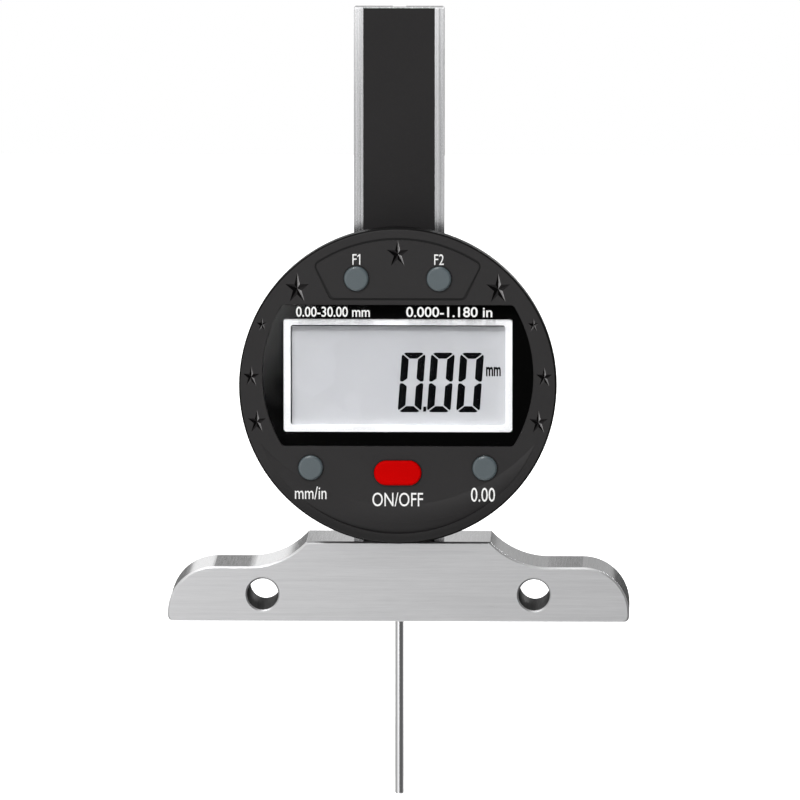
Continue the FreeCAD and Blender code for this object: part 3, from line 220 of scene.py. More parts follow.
def dot(tree, vector, way):
    """How far a vector socket goes along a way."""
    product = tree.nodes.new("ShaderNodeVectorMath")
    product.operation = "DOT_PRODUCT"
    product.inputs[1].default_value = way
    tree.links.new(vector, product.inputs[0])
    return product.outputs["Value"]


def near_axis(tree, spot, radius, soft):
    """1 within a radius of an axis along y through a spot in x and z, and 0 beyond it."""
    coordinate = tree.nodes.new("ShaderNodeTexCoord")
    flat = tree.nodes.new("ShaderNodeVectorMath")
    flat.operation = "MULTIPLY"
    flat.inputs[1].default_value = (1, 0, 1)
    tree.links.new(coordinate.outputs["Object"], flat.inputs[0])
    away = tree.nodes.new("ShaderNodeVectorMath")
    away.operation = "DISTANCE"
    away.inputs[1].default_value = (spot[0], 0, spot[1])
    tree.links.new(flat.outputs["Vector"], away.inputs[0])
    return spread(tree, away.outputs["Value"], 1, 0, radius, radius + soft)


def near_any(tree, circles, soft):
    """1 within any of the circles, each a spot and a radius, which stand apart."""
    total = None
    for spot, radius in circles:
        share = near_axis(tree, spot, radius, soft)
        total = share if total is None else add_values(tree, total, share)
    return total


def facing(tree, axis, low, high):
    """1 where the surface faces along an axis, to either side, and 0 elsewhere."""
    geometry = tree.nodes.new("ShaderNodeNewGeometry")
    split = tree.nodes.new("ShaderNodeSeparateXYZ")
    tree.links.new(geometry.outputs["Normal"], split.inputs["Vector"])
    size = tree.nodes.new("ShaderNodeMath")
    size.operation = "ABSOLUTE"
    tree.links.new(split.outputs[axis], size.inputs[0])
    return spread(tree, size.outputs["Value"], 0, 1, low, high)


def leaning(tree, way, low, high):
    """1 where the surface leans a way by more than high, and 0 under low."""
    geometry = tree.nodes.new("ShaderNodeNewGeometry")
    return spread(tree, dot(tree, geometry.outputs["Normal"], way), 0, 1, low, high)


def relief(tree, height, depth_mm, edge_mm=0.0):
    """A normal with a bump of a depth in millimetres, and edges rounded by a radius."""
    bump = tree.nodes.new("ShaderNodeBump")
    bump.inputs["Strength"].default_value = 1.0
    bump.inputs["Distance"].default_value = depth_mm * MM
    tree.links.new(height, bump.inputs["Height"])
    if edge_mm:
        rounded = tree.nodes.new("ShaderNodeBevel")
        rounded.samples = 6
        rounded.inputs["Radius"].default_value = edge_mm * MM
        tree.links.new(rounded.outputs["Normal"], bump.inputs["Normal"])
    return bump.outputs["Normal"]


def finish_shader(tree, shader, shade, rough, normal=None):
    """Links the colour, the roughness and the normal to the shader."""
    tree.links.new(shade, shader.inputs["Base Color"])
    tree.links.new(rough, shader.inputs["Roughness"])
    if normal is not None:
        tree.links.new(normal, shader.inputs["Normal"])


# Metals


def steel_shade(tree, lines, light, dark):
    """Metal colour: lines between two tones and broad worn patches."""
    clouds = noise(tree, EVEN, scale=0.12, detail=3.0)
    shade = blend_colours(tree, spread(tree, lines, 0, 1), dark, light)
    cloud_share = spread(tree, clouds, 0, 0.35, 0.45, 0.7)
    return blend_colours(tree, cloud_share, shade, scaled(light, 0.9))


def brushed_steel(name, light, dark, grain, roughness, broad_share=0.25):
    """Ground metal: fine lines along the grain, soft blotches and worn patches."""
    material, tree, shader = new_material(name)
    fine = noise(tree, grain, scale=9.0, detail=4.0, roughness=0.65)
    broad = noise(tree, grain, scale=2.2, detail=1.0, roughness=0.5)
    lines = blend_values(tree, broad_share, fine, broad)
    if grain[2] < 1:
        # The ends of upright stock are cut crosswise
        cut = spread(tree, noise(tree, ALONG_X, scale=9.0, detail=3.0), 0.4, 0.6)
        lines = blend_values(tree, facing(tree, "Z", 0.8, 0.95), lines, cut)
    shader.inputs["Metallic"].default_value = 1.0
    rough = spread(tree, lines, roughness * 0.85, roughness * 1.2)
    shade = steel_shade(tree, lines, light, dark)
    finish_shader(tree, shader, shade, rough, relief(tree, lines, 0.0012))
    return material


def base_ground_steel(name, light, dark):
    """The base: lines along x in front, crosswise on its edges, and painted shade in its cross
    holes.
    """
    material, tree, shader = new_material(name)
    fine = noise(tree, ALONG_X, scale=9.0, detail=4.0, roughness=0.65)
    streaks = noise(tree, (0.02, 1, 1), scale=2.0, detail=2.0, roughness=0.6)
    along = add_values(tree, spread(tree, fine, 0, 0.5), spread(tree, streaks, 0, 0.5))
    along = spread(tree, along, 0.3, 0.7, 0, 1)
    crosswise = noise(tree, ALONG_Y, scale=5.0, detail=3.0, roughness=0.6)
    front = facing(tree, "Y", 0.6, 0.8)
    lines = blend_values(tree, front, crosswise, along)
    bevel = combine(tree, "SUBTRACT", facing(tree, "Y", 0.4, 0.5), facing(tree, "Y", 0.9, 0.95))
    circles = [(hole, CROSS_HOLE_RADIUS * 1.01) for hole in CROSS_HOLES]
    bore = near_any(tree, circles, CROSS_HOLE_RADIUS * 0.02)

    shade = steel_shade(tree, lines, light, dark)
    shade = blend_colours(tree, bevel, shade, scaled(light, 0.85))
    # Painted shade: the cross holes' walls are coloured near black
    shade = blend_colours(tree, bore, shade, (0.012, 0.0118, 0.0115))

    # Metal seen flat along a bore is bright however dark it is, so the bores aren't metal, and
    # their near-black colour is painted shade
    shader.inputs["Metallic"].default_value = 1.0
    tree.links.new(spread(tree, bore, 1, 0, 0, 1), shader.inputs["Metallic"])
    tree.links.new(spread(tree, bore, 0.5, 0.04, 0, 1), shader.inputs["Specular IOR Level"])

    smooth = spread(tree, lines, 0.08, 0.13)
    satin = spread(tree, lines, 0.27, 0.36)
    matt = spread(tree, lines, 0.42, 0.5)
    rough = blend_values(tree, front, smooth, satin)
    rough = blend_values(tree, bevel, rough, matt)
    rough = blend_values(tree, bore, rough, matt)
    finish_shader(tree, shader, shade, rough, relief(tree, lines, 0.0012, edge_mm=0.08))
    return material


# Plastics


def moulded_shade(tree, colour, grain, drift):
    """Plastic colour with a faint drift and paler specks."""
    low, high = scaled(colour, 0.95), scaled(colour, 1.06)
    shade = blend_colours(tree, spread(tree, drift, 0, 1), low, high)
    specks = spread(tree, grain, 0, 0.5, 0.55, 0.8)
    return blend_colours(tree, specks, shade, scaled(colour, 1.35))


def moulded_plastic(
    name, colour, roughness, grain_mm=0.16, depth_mm=0.006, specular=0.3, edge_mm=0.0
):
    """Moulded plastic: fine spark texture, faint colour drift and handled patches."""
    material, tree, shader = new_material(name)
    grain = noise(tree, EVEN, scale=1 / grain_mm, detail=2.0)
    drift = noise(tree, EVEN, scale=0.09, detail=3.0)
    shade = moulded_shade(tree, colour, grain, drift)
    rough = spread(tree, drift, roughness * 0.95, roughness * 1.05)
    shader.inputs["Specular IOR Level"].default_value = specular
    finish_shader(tree, shader, shade, rough, relief(tree, grain, depth_mm, edge_mm))
    return material


def star_pockets(tree):
    """1 on the slopes of the stars that are sunk in the cover, and 0 elsewhere."""
    circles = []
    for across, up, reach in STARS:
        for side in (-1, 1) if across else (1,):
            spot = (DIAL[0] + side * across * RIM, DIAL[1] + up * RIM)
            circles.append((spot, reach * RIM * STAR_MARGIN))
    stars = near_any(tree, circles, 0.05 * MM)
    sloped = facing(tree, "Y", 0.985, 0.95)
    flat_part = near_axis(tree, DIAL, FLAT_RADIUS, 0.05 * MM)
    return multiply(tree, multiply(tree, stars, sloped), flat_part)


def painted_hollow_shade(tree, height):
    """Painted shade: 1 in narrow hollows, found by ambient occlusion, of the panel and of what is
    over z 44 mm, but not along the crescent.
    """
    hollow = tree.nodes.new("ShaderNodeAmbientOcclusion")
    hollow.samples = 8
    hollow.inputs["Distance"].default_value = 0.8 * MM
    occlusion_shade = spread(tree, hollow.outputs["AO"], 1, 0, 0.5, 0.88)
    upper = spread(tree, height, 0, 1, 40, 44)
    panel = near_axis(tree, DIAL, PANEL_RADIUS, 0.6 * MM)
    counted = spread(tree, add_values(tree, upper, panel), 0, 1, 0, 1)
    return multiply(tree, counted, occlusion_shade)


def painted_low_rim_shade(tree, height):
    """Painted shade, darker towards the bottom: 0.6 on the rim under z 18 mm, and 0 on the panel
    and over z 30 mm.
    """
    outside = spread(tree, near_axis(tree, DIAL, LOW_RIM_SHADE_RADIUS, 1.4 * MM), 0.6, 0, 0, 1)
    return multiply(tree, spread(tree, height, 1, 0, 18, 30), outside)


def cover_plastic(name, colour):
    """The front cover: spark texture, polished star pockets with painted light and shade on their
    facets, and painted shade on its outer edge, in its hollows and on its lower rim.
    """
    material, tree, shader = new_material(name)
    grain = noise(tree, EVEN, scale=6.2, detail=2.0)
    drift = noise(tree, EVEN, scale=0.09, detail=3.0)
    split = tree.nodes.new("ShaderNodeSeparateXYZ")
    tree.links.new(place(tree), split.inputs["Vector"])
    height = split.outputs["Z"]
    inner = near_axis(tree, DIAL, FACE_RADIUS, 0.08 * MM)
    pocket = star_pockets(tree)
    half_lit = leaning(tree, STAR_LIGHT, 0.0, 0.12)
    lit = multiply(tree, pocket, leaning(tree, STAR_LIGHT, 0.3, 0.45))

    # Painted shade tone, for star facets turned from the light, for hollows and for the lower rim
    painted_shade_tone = scaled(colour, 0.15)
    shade = moulded_shade(tree, colour, grain, drift)
    # Painted shade on the cover's rounded outer edge, outside the face
    shade = blend_colours(tree, inner, scaled(colour, 0.3), shade)
    # Painted light and shade: star facets leaning towards STAR_LIGHT keep most of the cover's
    # tone, the others get the painted shade tone
    facets = blend_colours(tree, half_lit, painted_shade_tone, scaled(colour, 0.85))
    shade = blend_colours(tree, pocket, shade, facets)
    # Painted shade in narrow hollows
    shade = blend_colours(tree, painted_hollow_shade(tree, height), shade, painted_shade_tone)
    # Painted shade on the lower rim
    shade = blend_colours(tree, painted_low_rim_shade(tree, height), shade, painted_shade_tone)
    # Painted highlight: the lit star facets get a pale grey colour
    shade = blend_colours(tree, lit, shade, (0.42, 0.41, 0.41))

    satin = spread(tree, drift, 0.38, 0.44)
    polished = spread(tree, grain, 0.13, 0.19)
    rough = blend_values(tree, pocket, satin, polished)

    gloss = spread(tree, inner, 0.03, 0.18, 0, 1)
    gloss = multiply(tree, gloss, spread(tree, pocket, 1, 0.2, 0, 1))
    gloss = add_values(tree, gloss, spread(tree, lit, 0, 0.96, 0, 1))
    shader.inputs["IOR"].default_value = 1.7
    shader.inputs["Specular IOR Level"].default_value = 0.18
    tree.links.new(gloss, shader.inputs["Specular IOR Level"])
    tree.links.new(spread(tree, lit, 0, 0.6, 0, 1), shader.inputs["Metallic"])

    level = tree.nodes.new("ShaderNodeMix")
    level.data_type = "VECTOR"
    tree.links.new(lit, level.inputs[0])
    tree.links.new(relief(tree, grain, 0.006), level.inputs[4])
    level.inputs[5].default_value = STAR_FACET
    finish_shader(tree, shader, shade, rough, level.outputs[1])
    return material


def clear_window(name):
    """Polished clear plastic that lets light through to what lies behind it."""
    material, tree, shader = new_material(name)
    smears = noise(tree, EVEN, scale=0.25, detail=4.0)
    tree.links.new(spread(tree, smears, 0.01, 0.04), shader.inputs["Roughness"])
    shader.inputs["Base Color"].default_value = (0.97, 0.975, 0.98, 1)
    shader.inputs["Transmission Weight"].default_value = 1.0
    shader.inputs["IOR"].default_value = 1.49
    shader.inputs["Specular IOR Level"].default_value = 0.9
    open_to(tree, shader, "Is Shadow Ray")
    return material


# Display, ink, rubber and board


def display_panel(name):
    """Liquid crystal panel: pale grey with a faint cell grid and a soft drift of tone."""
    material, tree, shader = new_material(name)
    drift = noise(tree, EVEN, scale=0.06, detail=2.0)
    cells = noise(tree, EVEN, scale=14.0, detail=1.0)
    low, high = (0.54, 0.545, 0.565), (0.575, 0.58, 0.6)
    shade = blend_colours(tree, spread(tree, drift, 0, 1), low, high)
    shade = blend_colours(tree, spread(tree, cells, 0, 0.25), shade, (0.44, 0.445, 0.46))
    shader.inputs["Specular IOR Level"].default_value = 0.25
    finish_shader(tree, shader, shade, spread(tree, drift, 0.22, 0.32))
    return material


def printed_ink(name, colour, roughness=0.45, specular=0.3):
    """Thin ink: slightly uneven cover and gloss."""
    material, tree, shader = new_material(name)
    cover = noise(tree, EVEN, scale=6.0, detail=2.0)
    shade = blend_colours(tree, spread(tree, cover, 0, 1), scaled(colour, 0.86), colour)
    shader.inputs["Specular IOR Level"].default_value = specular
    rough = spread(tree, cover, roughness * 0.9, roughness * 1.15)
    finish_shader(tree, shader, shade, rough)
    return material


def striped_rubber(name):
    """Elastomer with alternating conducting and insulating layers."""
    material, tree, shader = new_material(name)
    wave = tree.nodes.new("ShaderNodeTexWave")
    wave.wave_type = "BANDS"
    wave.bands_direction = "X"
    wave.inputs["Scale"].default_value = 1.6
    wave.inputs["Distortion"].default_value = 0.2
    tree.links.new(place(tree), wave.inputs["Vector"])
    layers = wave.outputs["Fac"]
    shade = blend_colours(tree, layers, (0.05, 0.05, 0.05), (0.55, 0.56, 0.58))
    finish_shader(tree, shader, shade, spread(tree, layers, 0.5, 0.7, 0, 1))
    return material


def circuit_board(name):
    """Green solder mask with copper traces showing through it."""
    material, tree, shader = new_material(name)
    traces = tree.nodes.new("ShaderNodeTexBrick")
    traces.inputs["Scale"].default_value = 0.55
    traces.inputs["Mortar Size"].default_value = 0.035
    traces.inputs["Mortar Smooth"].default_value = 0.2
    traces.inputs["Brick Width"].default_value = 1.7
    traces.inputs["Row Height"].default_value = 0.32
    traces.inputs["Color1"].default_value = (0, 0, 0, 1)
    traces.inputs["Color2"].default_value = (0, 0, 0, 1)
    traces.inputs["Mortar"].default_value = (1, 1, 1, 1)
    turn = tree.nodes.new("ShaderNodeMapping")
    turn.inputs["Rotation"].default_value = (math.radians(90), 0, 0)
    tree.links.new(place(tree), turn.inputs["Vector"])
    tree.links.new(turn.outputs["Vector"], traces.inputs["Vector"])
    drift = noise(tree, EVEN, scale=0.4, detail=2.0)
    low, high = (0.008, 0.07, 0.03), (0.012, 0.10, 0.04)
    shade = blend_colours(tree, spread(tree, drift, 0, 1), low, high)
    shade = blend_colours(tree, traces.outputs["Color"], shade, (0.03, 0.20, 0.07))
    finish_shader(tree, shader, shade, spread(tree, drift, 0.28, 0.4))
    return material


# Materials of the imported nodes

steel_base = base_ground_steel("ground_base_steel", (0.90, 0.90, 0.91), (0.75, 0.75, 0.76))
steel_beam = brushed_steel(
    "ground_beam_steel", (0.84, 0.84, 0.85), (0.44, 0.44, 0.45), (1, 1, 0.006), 0.24, 0.75
)
steel_rod = brushed_steel(
    "polished_rod_steel", (0.84, 0.84, 0.85), (0.78, 0.78, 0.79), ALONG_Z, 0.14
)
steel_screws = brushed_steel(
    "plated_screw_steel", (0.66, 0.66, 0.68), (0.5, 0.5, 0.52), EVEN, 0.28
)
steel_slider = brushed_steel(
    "satin_slider_steel", (0.66, 0.66, 0.68), (0.56, 0.56, 0.58), ALONG_Z, 0.34
)
brass_gib = brushed_steel(
    "gib_brass_metal", (0.78, 0.56, 0.24), (0.66, 0.45, 0.17), ALONG_Z, 0.32
)
brass_contact = brushed_steel(
    "gilded_contact", (0.86, 0.68, 0.34), (0.76, 0.58, 0.26), ALONG_X, 0.24
)
can_steel = brushed_steel(
    "battery_can_steel", (0.82, 0.82, 0.83), (0.70, 0.70, 0.72), EVEN, 0.20
)
face_plastic = cover_plastic("cover_dark_plastic", (0.0196, 0.0184, 0.0188))
housing = moulded_plastic("housing_dark_plastic", (0.040, 0.0375, 0.0385), 0.50, specular=0.2)
label_grey = moulded_plastic(
    "scale_cover_grey", (0.0195, 0.0185, 0.019), 0.55, 0.22, 0.004, specular=0.15
)
button_blue_grey = moulded_plastic(
    "button_blue_grey", (0.071, 0.092, 0.101), 0.3, 0.12, 0.003, specular=0.8, edge_mm=0.3
)
button_red = moulded_plastic(
    "button_red", (0.52, 0.0002, 0.0002), 0.55, 0.12, 0.003, specular=0.02, edge_mm=0.3
)
switch_black = moulded_plastic("switch_black", (0.012, 0.012, 0.013), 0.5, 0.2, 0.004)
chip_black = moulded_plastic("chip_black", (0.018, 0.018, 0.018), 0.6, 0.1, 0.004)
seal_black = moulded_plastic("seal_rubber_black", (0.012, 0.012, 0.012), 0.75, 0.3, 0.004)
scale_green = moulded_plastic("scale_laminate_green", (0.02, 0.09, 0.04), 0.45, 0.4, 0.003)
bezel_white = moulded_plastic(
    "bezel_white", (0.94, 0.94, 0.95), 0.35, 0.3, 0.002, specular=0.4
)
mask_black = moulded_plastic(
    "window_print_black", (0.0012, 0.0012, 0.0012), 0.4, 0.5, 0.0005, specular=0.1
)
window_clear = clear_window("window_clear_plastic")
panel_grey = display_panel("display_panel_grey")
rubber_stripes = striped_rubber("zebra_elastomer")
board_green = circuit_board("board_green")
ink_white = printed_ink("legend_white_ink", (0.94, 0.94, 0.93))
ink_segment = printed_ink("segment_dark", (0.002, 0.0022, 0.003), 0.6, 0.02)

FINISHES = {
    "base": steel_base,
    "beam": steel_beam,
    "end_stop": steel_beam,
    "end_stop_screws": steel_screws,
    "beam_screws": steel_screws,
    "scale_strip": scale_green,
    "scale_cover": label_grey,
    "slider_frame": steel_slider,
    "slider_back_plate": steel_slider,
    "back_plate_screws": steel_screws,
    "gib_strip": brass_gib,
    "gib_set_screws": steel_screws,
    "rod_anchor": steel_slider,
    "rod_anchor_screw": steel_screws,
    "depth_rod": steel_rod,
    "front_cover": face_plastic,
    "rear_cover": housing,
    "battery_cover": housing,
    "housing_screws": steel_screws,
    "window": window_clear,
    "window_mask": mask_black,
    "lcd_frame": bezel_white,
    "lcd_glass": panel_grey,
    "zebra_strips": rubber_stripes,
    "main_board": board_green,
    "board_screws": steel_screws,
    "board_components": chip_black,
    "switch_bodies": switch_black,
    "battery": can_steel,
    "battery_contact_positive": brass_contact,
    "battery_contact_negative": brass_contact,
    "battery_cover_seal": seal_black,
    "set_button": button_blue_grey,
    "hold_button": button_blue_grey,
    "unit_button": button_blue_grey,
    "zero_button": button_blue_grey,
    "power_button": button_red,
}

for name, node in nodes.items():
    finish = FINISHES.get(name, switch_black)
    if not node.material_slots:
        node.data.materials.append(finish)
    for slot in node.material_slots:
        slot.material = finish


# Printed pieces

cover_low, cover_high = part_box("front_cover")
head_middle = (cover_low.z + cover_high.z) / 2
# Print stands clear of what it lies on
COVER_PRINT_LIFT = 0.015 * MM
band_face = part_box("window")[0].y - 0.01 * MM
display_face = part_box("lcd_glass")[0].y - 0.02 * MM


def add_piece(name, mesh_maker, material):
    """A new mesh piece that rides on the head and takes its finish from a slot."""
    mesh = bpy.data.meshes.new(name)
    mesh_maker.to_mesh(mesh)
    mesh_maker.free()
    mesh.materials.append(material)
    piece = bpy.data.objects.new(name, mesh)
    scene.collection.objects.link(piece)
    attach(piece, "head")


def extent(letters, axis):
    """Lowest and highest coordinate of the letters on an axis."""
    values = [getattr(vertex.co, axis) for vertex in letters.verts]
    return min(values), max(values)


def lettering(text, across, up, cap, width_share, weight):
    """Letters at y 0, placed from the middle of the head, with a cap height, in millimetres."""
    curve = bpy.data.curves.new("letters", "FONT")
    curve.body = text
    curve.align_x = "CENTER"
    curve.align_y = "CENTER"
    curve.offset = weight
    curve.resolution_u = 4
    holder = bpy.data.objects.new("letters", curve)
    mesh = bpy.data.meshes.new_from_object(holder)
    letters = bmesh.new()
    letters.from_mesh(mesh)
    bpy.data.objects.remove(holder)
    bpy.data.curves.remove(curve)
    bpy.data.meshes.remove(mesh)
    left, right = extent(letters, "x")
    low, high = extent(letters, "y")
    scale = cap * MM / (high - low)
    for vertex in letters.verts:
        x = (vertex.co.x - (left + right) / 2) * scale * width_share
        z = (vertex.co.y - (low + high) / 2) * scale
        vertex.co = Vector((across * MM + x, 0, head_middle + up * MM + z))
    return letters


def add_flag(letters, cap):
    """The slanted stroke at the top left of a numeral one that stands last."""
    stem = extent(letters, "x")[1] - 0.085 * cap
    top = extent(letters, "z")[1]
    end = stem - 0.2 * cap
    flag = ((stem, top), (stem, top - 0.16 * cap), (end, top - 0.3 * cap), (end, top - 0.16 * cap))
    letters.faces.new([letters.verts.new((x, 0, z)) for x, z in flag])


def lay_flat(letters, y):
    """Moves the letters to a depth."""
    for vertex in letters.verts:
        vertex.co.y = y


def lay_on(letters, surface, lift):
    """Cuts the letters finely and lays them on the front of a surface, seen along y."""
    longest = 0.35 * MM
    bmesh.ops.triangulate(letters, faces=letters.faces[:])
    for _ in range(4):
        long_edges = [edge for edge in letters.edges if edge.calc_length() > longest]
        if not long_edges:
            break
        bmesh.ops.subdivide_edges(letters, edges=long_edges, cuts=1)
        bmesh.ops.triangulate(letters, faces=letters.faces[:])
    tree = BVHTree.FromObject(surface, bpy.context.evaluated_depsgraph_get())
    in_front = Vector((0, -0.1, 0))
    for vertex in letters.verts:
        hit = tree.ray_cast(vertex.co + in_front, Vector((0, 1, 0)))[0]
        if hit is not None:
            vertex.co.y = hit.y - lift


# Legends on the cover: name, text, place from the middle of the head and cap height
LEGENDS = (
    ("set_legend", "F1", (-7.3, 22.55), 1.9),
    ("hold_legend", "F2", (7.3, 22.55), 1.9),
    ("unit_legend", "mm/in", (-15.4, -19.0), 2.25),
    ("zero_legend", "0.00", (15.1, -19.25), 2.5),
    ("power_legend", "ON/OFF", (0, -20.15), 2.45),
)
for name, text, (across, up), cap in LEGENDS:
    letters = lettering(text, across, up, cap, width_share=0.72, weight=0.002)
    if name == "set_legend":
        add_flag(letters, cap * MM)
    lay_on(letters, nodes["front_cover"], COVER_PRINT_LIFT)
    bmesh.ops.recalc_face_normals(letters, faces=letters.faces[:])
    add_piece(name, letters, ink_white)

# Legends on the window's black band: name, text, place across and share of the full width
BAND_LEGENDS = (
    ("metric_legend", "0.00-30.00 mm", -11.45, 0.86),
    ("inch_legend", "0.000-1.180 in", 9.1, 1.06),
)
BAND_UP = 13.22
BAND_CAP = 1.84
for name, text, across, share in BAND_LEGENDS:
    letters = lettering(text, across, BAND_UP, BAND_CAP, share, weight=0.014)
    lay_flat(letters, band_face)
    bmesh.ops.recalc_face_normals(letters, faces=letters.faces[:])
    add_piece(name, letters, ink_white)


# Digits of the display, in millimetres from the middle of the head

SEGMENT_THICKNESS = 1.08
UPRIGHT_THICKNESS = 1.3
DIGIT_HEIGHT = 10.62
DIGIT_WIDTH = 4.2
DIGIT_PITCH = 5.17
DIGIT_LEFT = -0.08
DIGIT_BOTTOM = -4.86
SEGMENT_GAP = 0.15
CORNER_CUT = 0.55
SLANT = math.tan(math.radians(4.2))
DECIMAL_POINT = ((4.5, 0.1), (5.05, 0.1), (5.05, 1.0), (4.5, 1.0))


def segment_outlines():
    """Corners of a zero's six mitred segments, from the digit's lower left corner."""
    t, u, w, h, g = SEGMENT_THICKNESS, UPRIGHT_THICKNESS, DIGIT_WIDTH, DIGIT_HEIGHT, SEGMENT_GAP
    cut = CORNER_CUT
    near = (cut + g) / 2
    far = (cut - g) / 2
    bottom = [(near, far), (cut * 0.9, 0.12), (cut * 1.3, 0)]
    bottom += [(w - cut * 1.3, 0), (w - cut * 0.9, 0.12), (w - near, far)]
    bottom += [(w - u - g, t), (u + g, t)]
    top = [(x, h - z) for x, z in reversed(bottom)]
    waist = h / 2 - g
    left_low = [(0, cut * 1.2), (0.1, cut * 0.8), (far, near), (u, t + g), (u, waist - 0.5 * t)]
    left_low += [(0.42 * u, waist), (0.15 * u, waist), (0, waist - 0.2)]
    left_high = [(x, h - z) for x, z in reversed(left_low)]
    right_high = [(w - x, z) for x, z in reversed(left_high)]
    right_low = [(w - x, z) for x, z in reversed(left_low)]
    return top, bottom, left_high, left_low, right_high, right_low


def add_outline(mesh_maker, outline, left):
    """One flat shape of a digit, slanted like the display's digits."""
    corners = [
        (
            (left + x + z * SLANT) * MM,
            display_face,
            head_middle + (DIGIT_BOTTOM + z) * MM,
        )
        for x, z in outline
    ]
    mesh_maker.faces.new([mesh_maker.verts.new(corner) for corner in corners])


for number in range(3):
    digit = bmesh.new()
    left = DIGIT_LEFT + number * DIGIT_PITCH
    for outline in segment_outlines():
        add_outline(digit, outline, left)
    if number == 0:
        add_outline(digit, DECIMAL_POINT, left)
    bmesh.ops.recalc_face_normals(digit, faces=digit.faces[:])
    add_piece(f"display_digit_{number + 1}", digit, ink_segment)

unit = lettering("mm", 16.88, 2.42, cap=1.7, width_share=0.535, weight=0.028)
lay_flat(unit, display_face)
add_piece("display_unit", unit, ink_segment)


# Painted shadow: a dark strip along the gap between the panel and its frame, at the top and on the
# left where the frame's shadow falls

VIEW_HALF = 18.99
VIEW_LOW = 35.45
VIEW_HIGH = 53.35
TOP_SHADOW_LINE = 0.30
SIDE_SHADOW_LINE = 0.17
shadow_line_corners = (
    (-VIEW_HALF, VIEW_LOW),
    (-VIEW_HALF + SIDE_SHADOW_LINE, VIEW_LOW),
    (-VIEW_HALF + SIDE_SHADOW_LINE, VIEW_HIGH - TOP_SHADOW_LINE),
    (VIEW_HALF, VIEW_HIGH - TOP_SHADOW_LINE),
    (VIEW_HALF, VIEW_HIGH),
    (-VIEW_HALF, VIEW_HIGH),
)
# A dark sheet put where the frame casts its shade
line = bmesh.new()
line.faces.new([line.verts.new((x * MM, display_face, z * MM)) for x, z in shadow_line_corners])
add_piece("display_shadow_line", line, ink_segment)


# Camera, at the photo's angle

ELEVATION = math.radians(6.7)
AZIMUTH = math.radians(1.4)
DISTANCE = 2.0
TARGET = Vector((0.1 * MM, 0, 38.7 * MM))
back = Vector(
    (
        math.sin(AZIMUTH) * math.cos(ELEVATION),
        -math.cos(AZIMUTH) * math.cos(ELEVATION),
        math.sin(ELEVATION),
    )
)
camera_data = bpy.data.cameras.new("photo_camera")
camera_data.lens = 505.8
camera_data.sensor_width = 36
camera = bpy.data.objects.new("photo_camera", camera_data)
camera.location = TARGET + back * DISTANCE
camera.rotation_euler = (-back).to_track_quat("-Z", "Y").to_euler()
scene.collection.objects.link(camera)
scene.camera = camera


# Floor: white for the camera, with the object's shadow, and open to mirrored rays

FLOOR_GAP = 0.2 * MM
FLOOR_CORNERS = ((-0.9, -0.25), (0.9, -0.25), (0.9, 1.2), (-0.9, 1.2))
FLOOR_GLOW = 0.72
floor_mesh = bpy.data.meshes.new("floor")
floor_maker = bmesh.new()
floor_level = start_low.z - FLOOR_GAP
floor_maker.faces.new([floor_maker.verts.new((x, y, floor_level)) for x, y in FLOOR_CORNERS])
floor_maker.to_mesh(floor_mesh)
floor_maker.free()
floor = bpy.data.objects.new("floor", floor_mesh)
scene.collection.objects.link(floor)
floor_material, floor_tree, floor_shader = new_material("floor_white")
floor_shader.inputs["Base Color"].default_value = (0.8, 0.8, 0.8, 1)
floor_shader.inputs["Roughness"].default_value = 0.9
floor_shader.inputs["Specular IOR Level"].default_value = 0.0
floor_shader.inputs["Emission Color"].default_value = (1, 1, 1, 1)
floor_path = open_to(floor_tree, floor_shader, "Is Glossy Ray")
floor_glow = spread(floor_tree, floor_path.outputs["Is Camera Ray"], 0, FLOOR_GLOW, 0, 1)
floor_tree.links.new(floor_glow, floor_shader.inputs["Emission Strength"])
floor_mesh.materials.append(floor_material)


# Surroundings: bright on the left, dim on the right, white behind the object

world = bpy.data.worlds.new("studio")
scene.world = world
world.use_nodes = True
sky = world.node_tree
sky.nodes.clear()
direction = sky.nodes.new("ShaderNodeTexCoord").outputs["Generated"]
split = sky.nodes.new("ShaderNodeSeparateXYZ")
sky.links.new(direction, split.inputs["Vector"])
to_right, to_back, to_top = (split.outputs[axis] for axis in "XYZ")

# Brightness in front of the object, from left to right
FRONT_TONES = (
    (-1.0, 1.2),
    (-0.8, 1.35),
    (-0.55, 1.7),
    (-0.25, 2.0),
    (-0.12, 1.65),
    (-0.03, 1.02),
    (0.06, 0.43),
    (0.2, 0.28),
    (0.4, 0.26),
    (1.0, 0.2),
)
# Brightness behind the object, which the base's top and sweeps mirror
BACK_REACH = 0.25
BACK_TONES = (
    (-0.25, 1.5),
    (-0.06, 1.58),
    (-0.046, 0.33),
    (-0.036, 0.38),
    (-0.029, 0.92),
    (-0.0165, 0.9),
    (-0.0115, 0.7),
    (-0.0100, 0.3),
    (-0.0080, 0.3),
    (-0.0060, 0.68),
    (0.03, 0.66),
    (0.13, 0.66),
    (0.17, 0.85),
    (0.25, 1.0),
)
# Share of the brightness from straight down to straight up
UP_TONES = (
    (-1.0, 0.85),
    (-0.96, 0.75),
    (-0.89, 0.34),
    (-0.4, 0.34),
    (-0.25, 0.48),
    (0.2, 0.48),
    (0.35, 0.34),
    (0.7, 0.36),
    (0.9, 0.45),
    (0.96, 1.15),
    (1.0, 1.25),
)


def tone_ramp(value, reach, tones):
    """Brightness by a value that runs from -reach to reach."""
    ramp = sky.nodes.new("ShaderNodeValToRGB")
    stops = ramp.color_ramp.elements
    stops.remove(stops[1])
    for number, (position, tone) in enumerate(tones):
        share = (position / reach + 1) / 2
        stop = stops[0] if number == 0 else stops.new(share)
        stop.position = share
        stop.color = (tone, tone, tone, 1)
    sky.links.new(spread(sky, value, 0, 1, -reach, reach), ramp.inputs["Fac"])
    return ramp.outputs["Color"]


def sky_step(value, start, end):
    """A smooth step of the sky."""
    return smooth_step(sky, value, start, end)


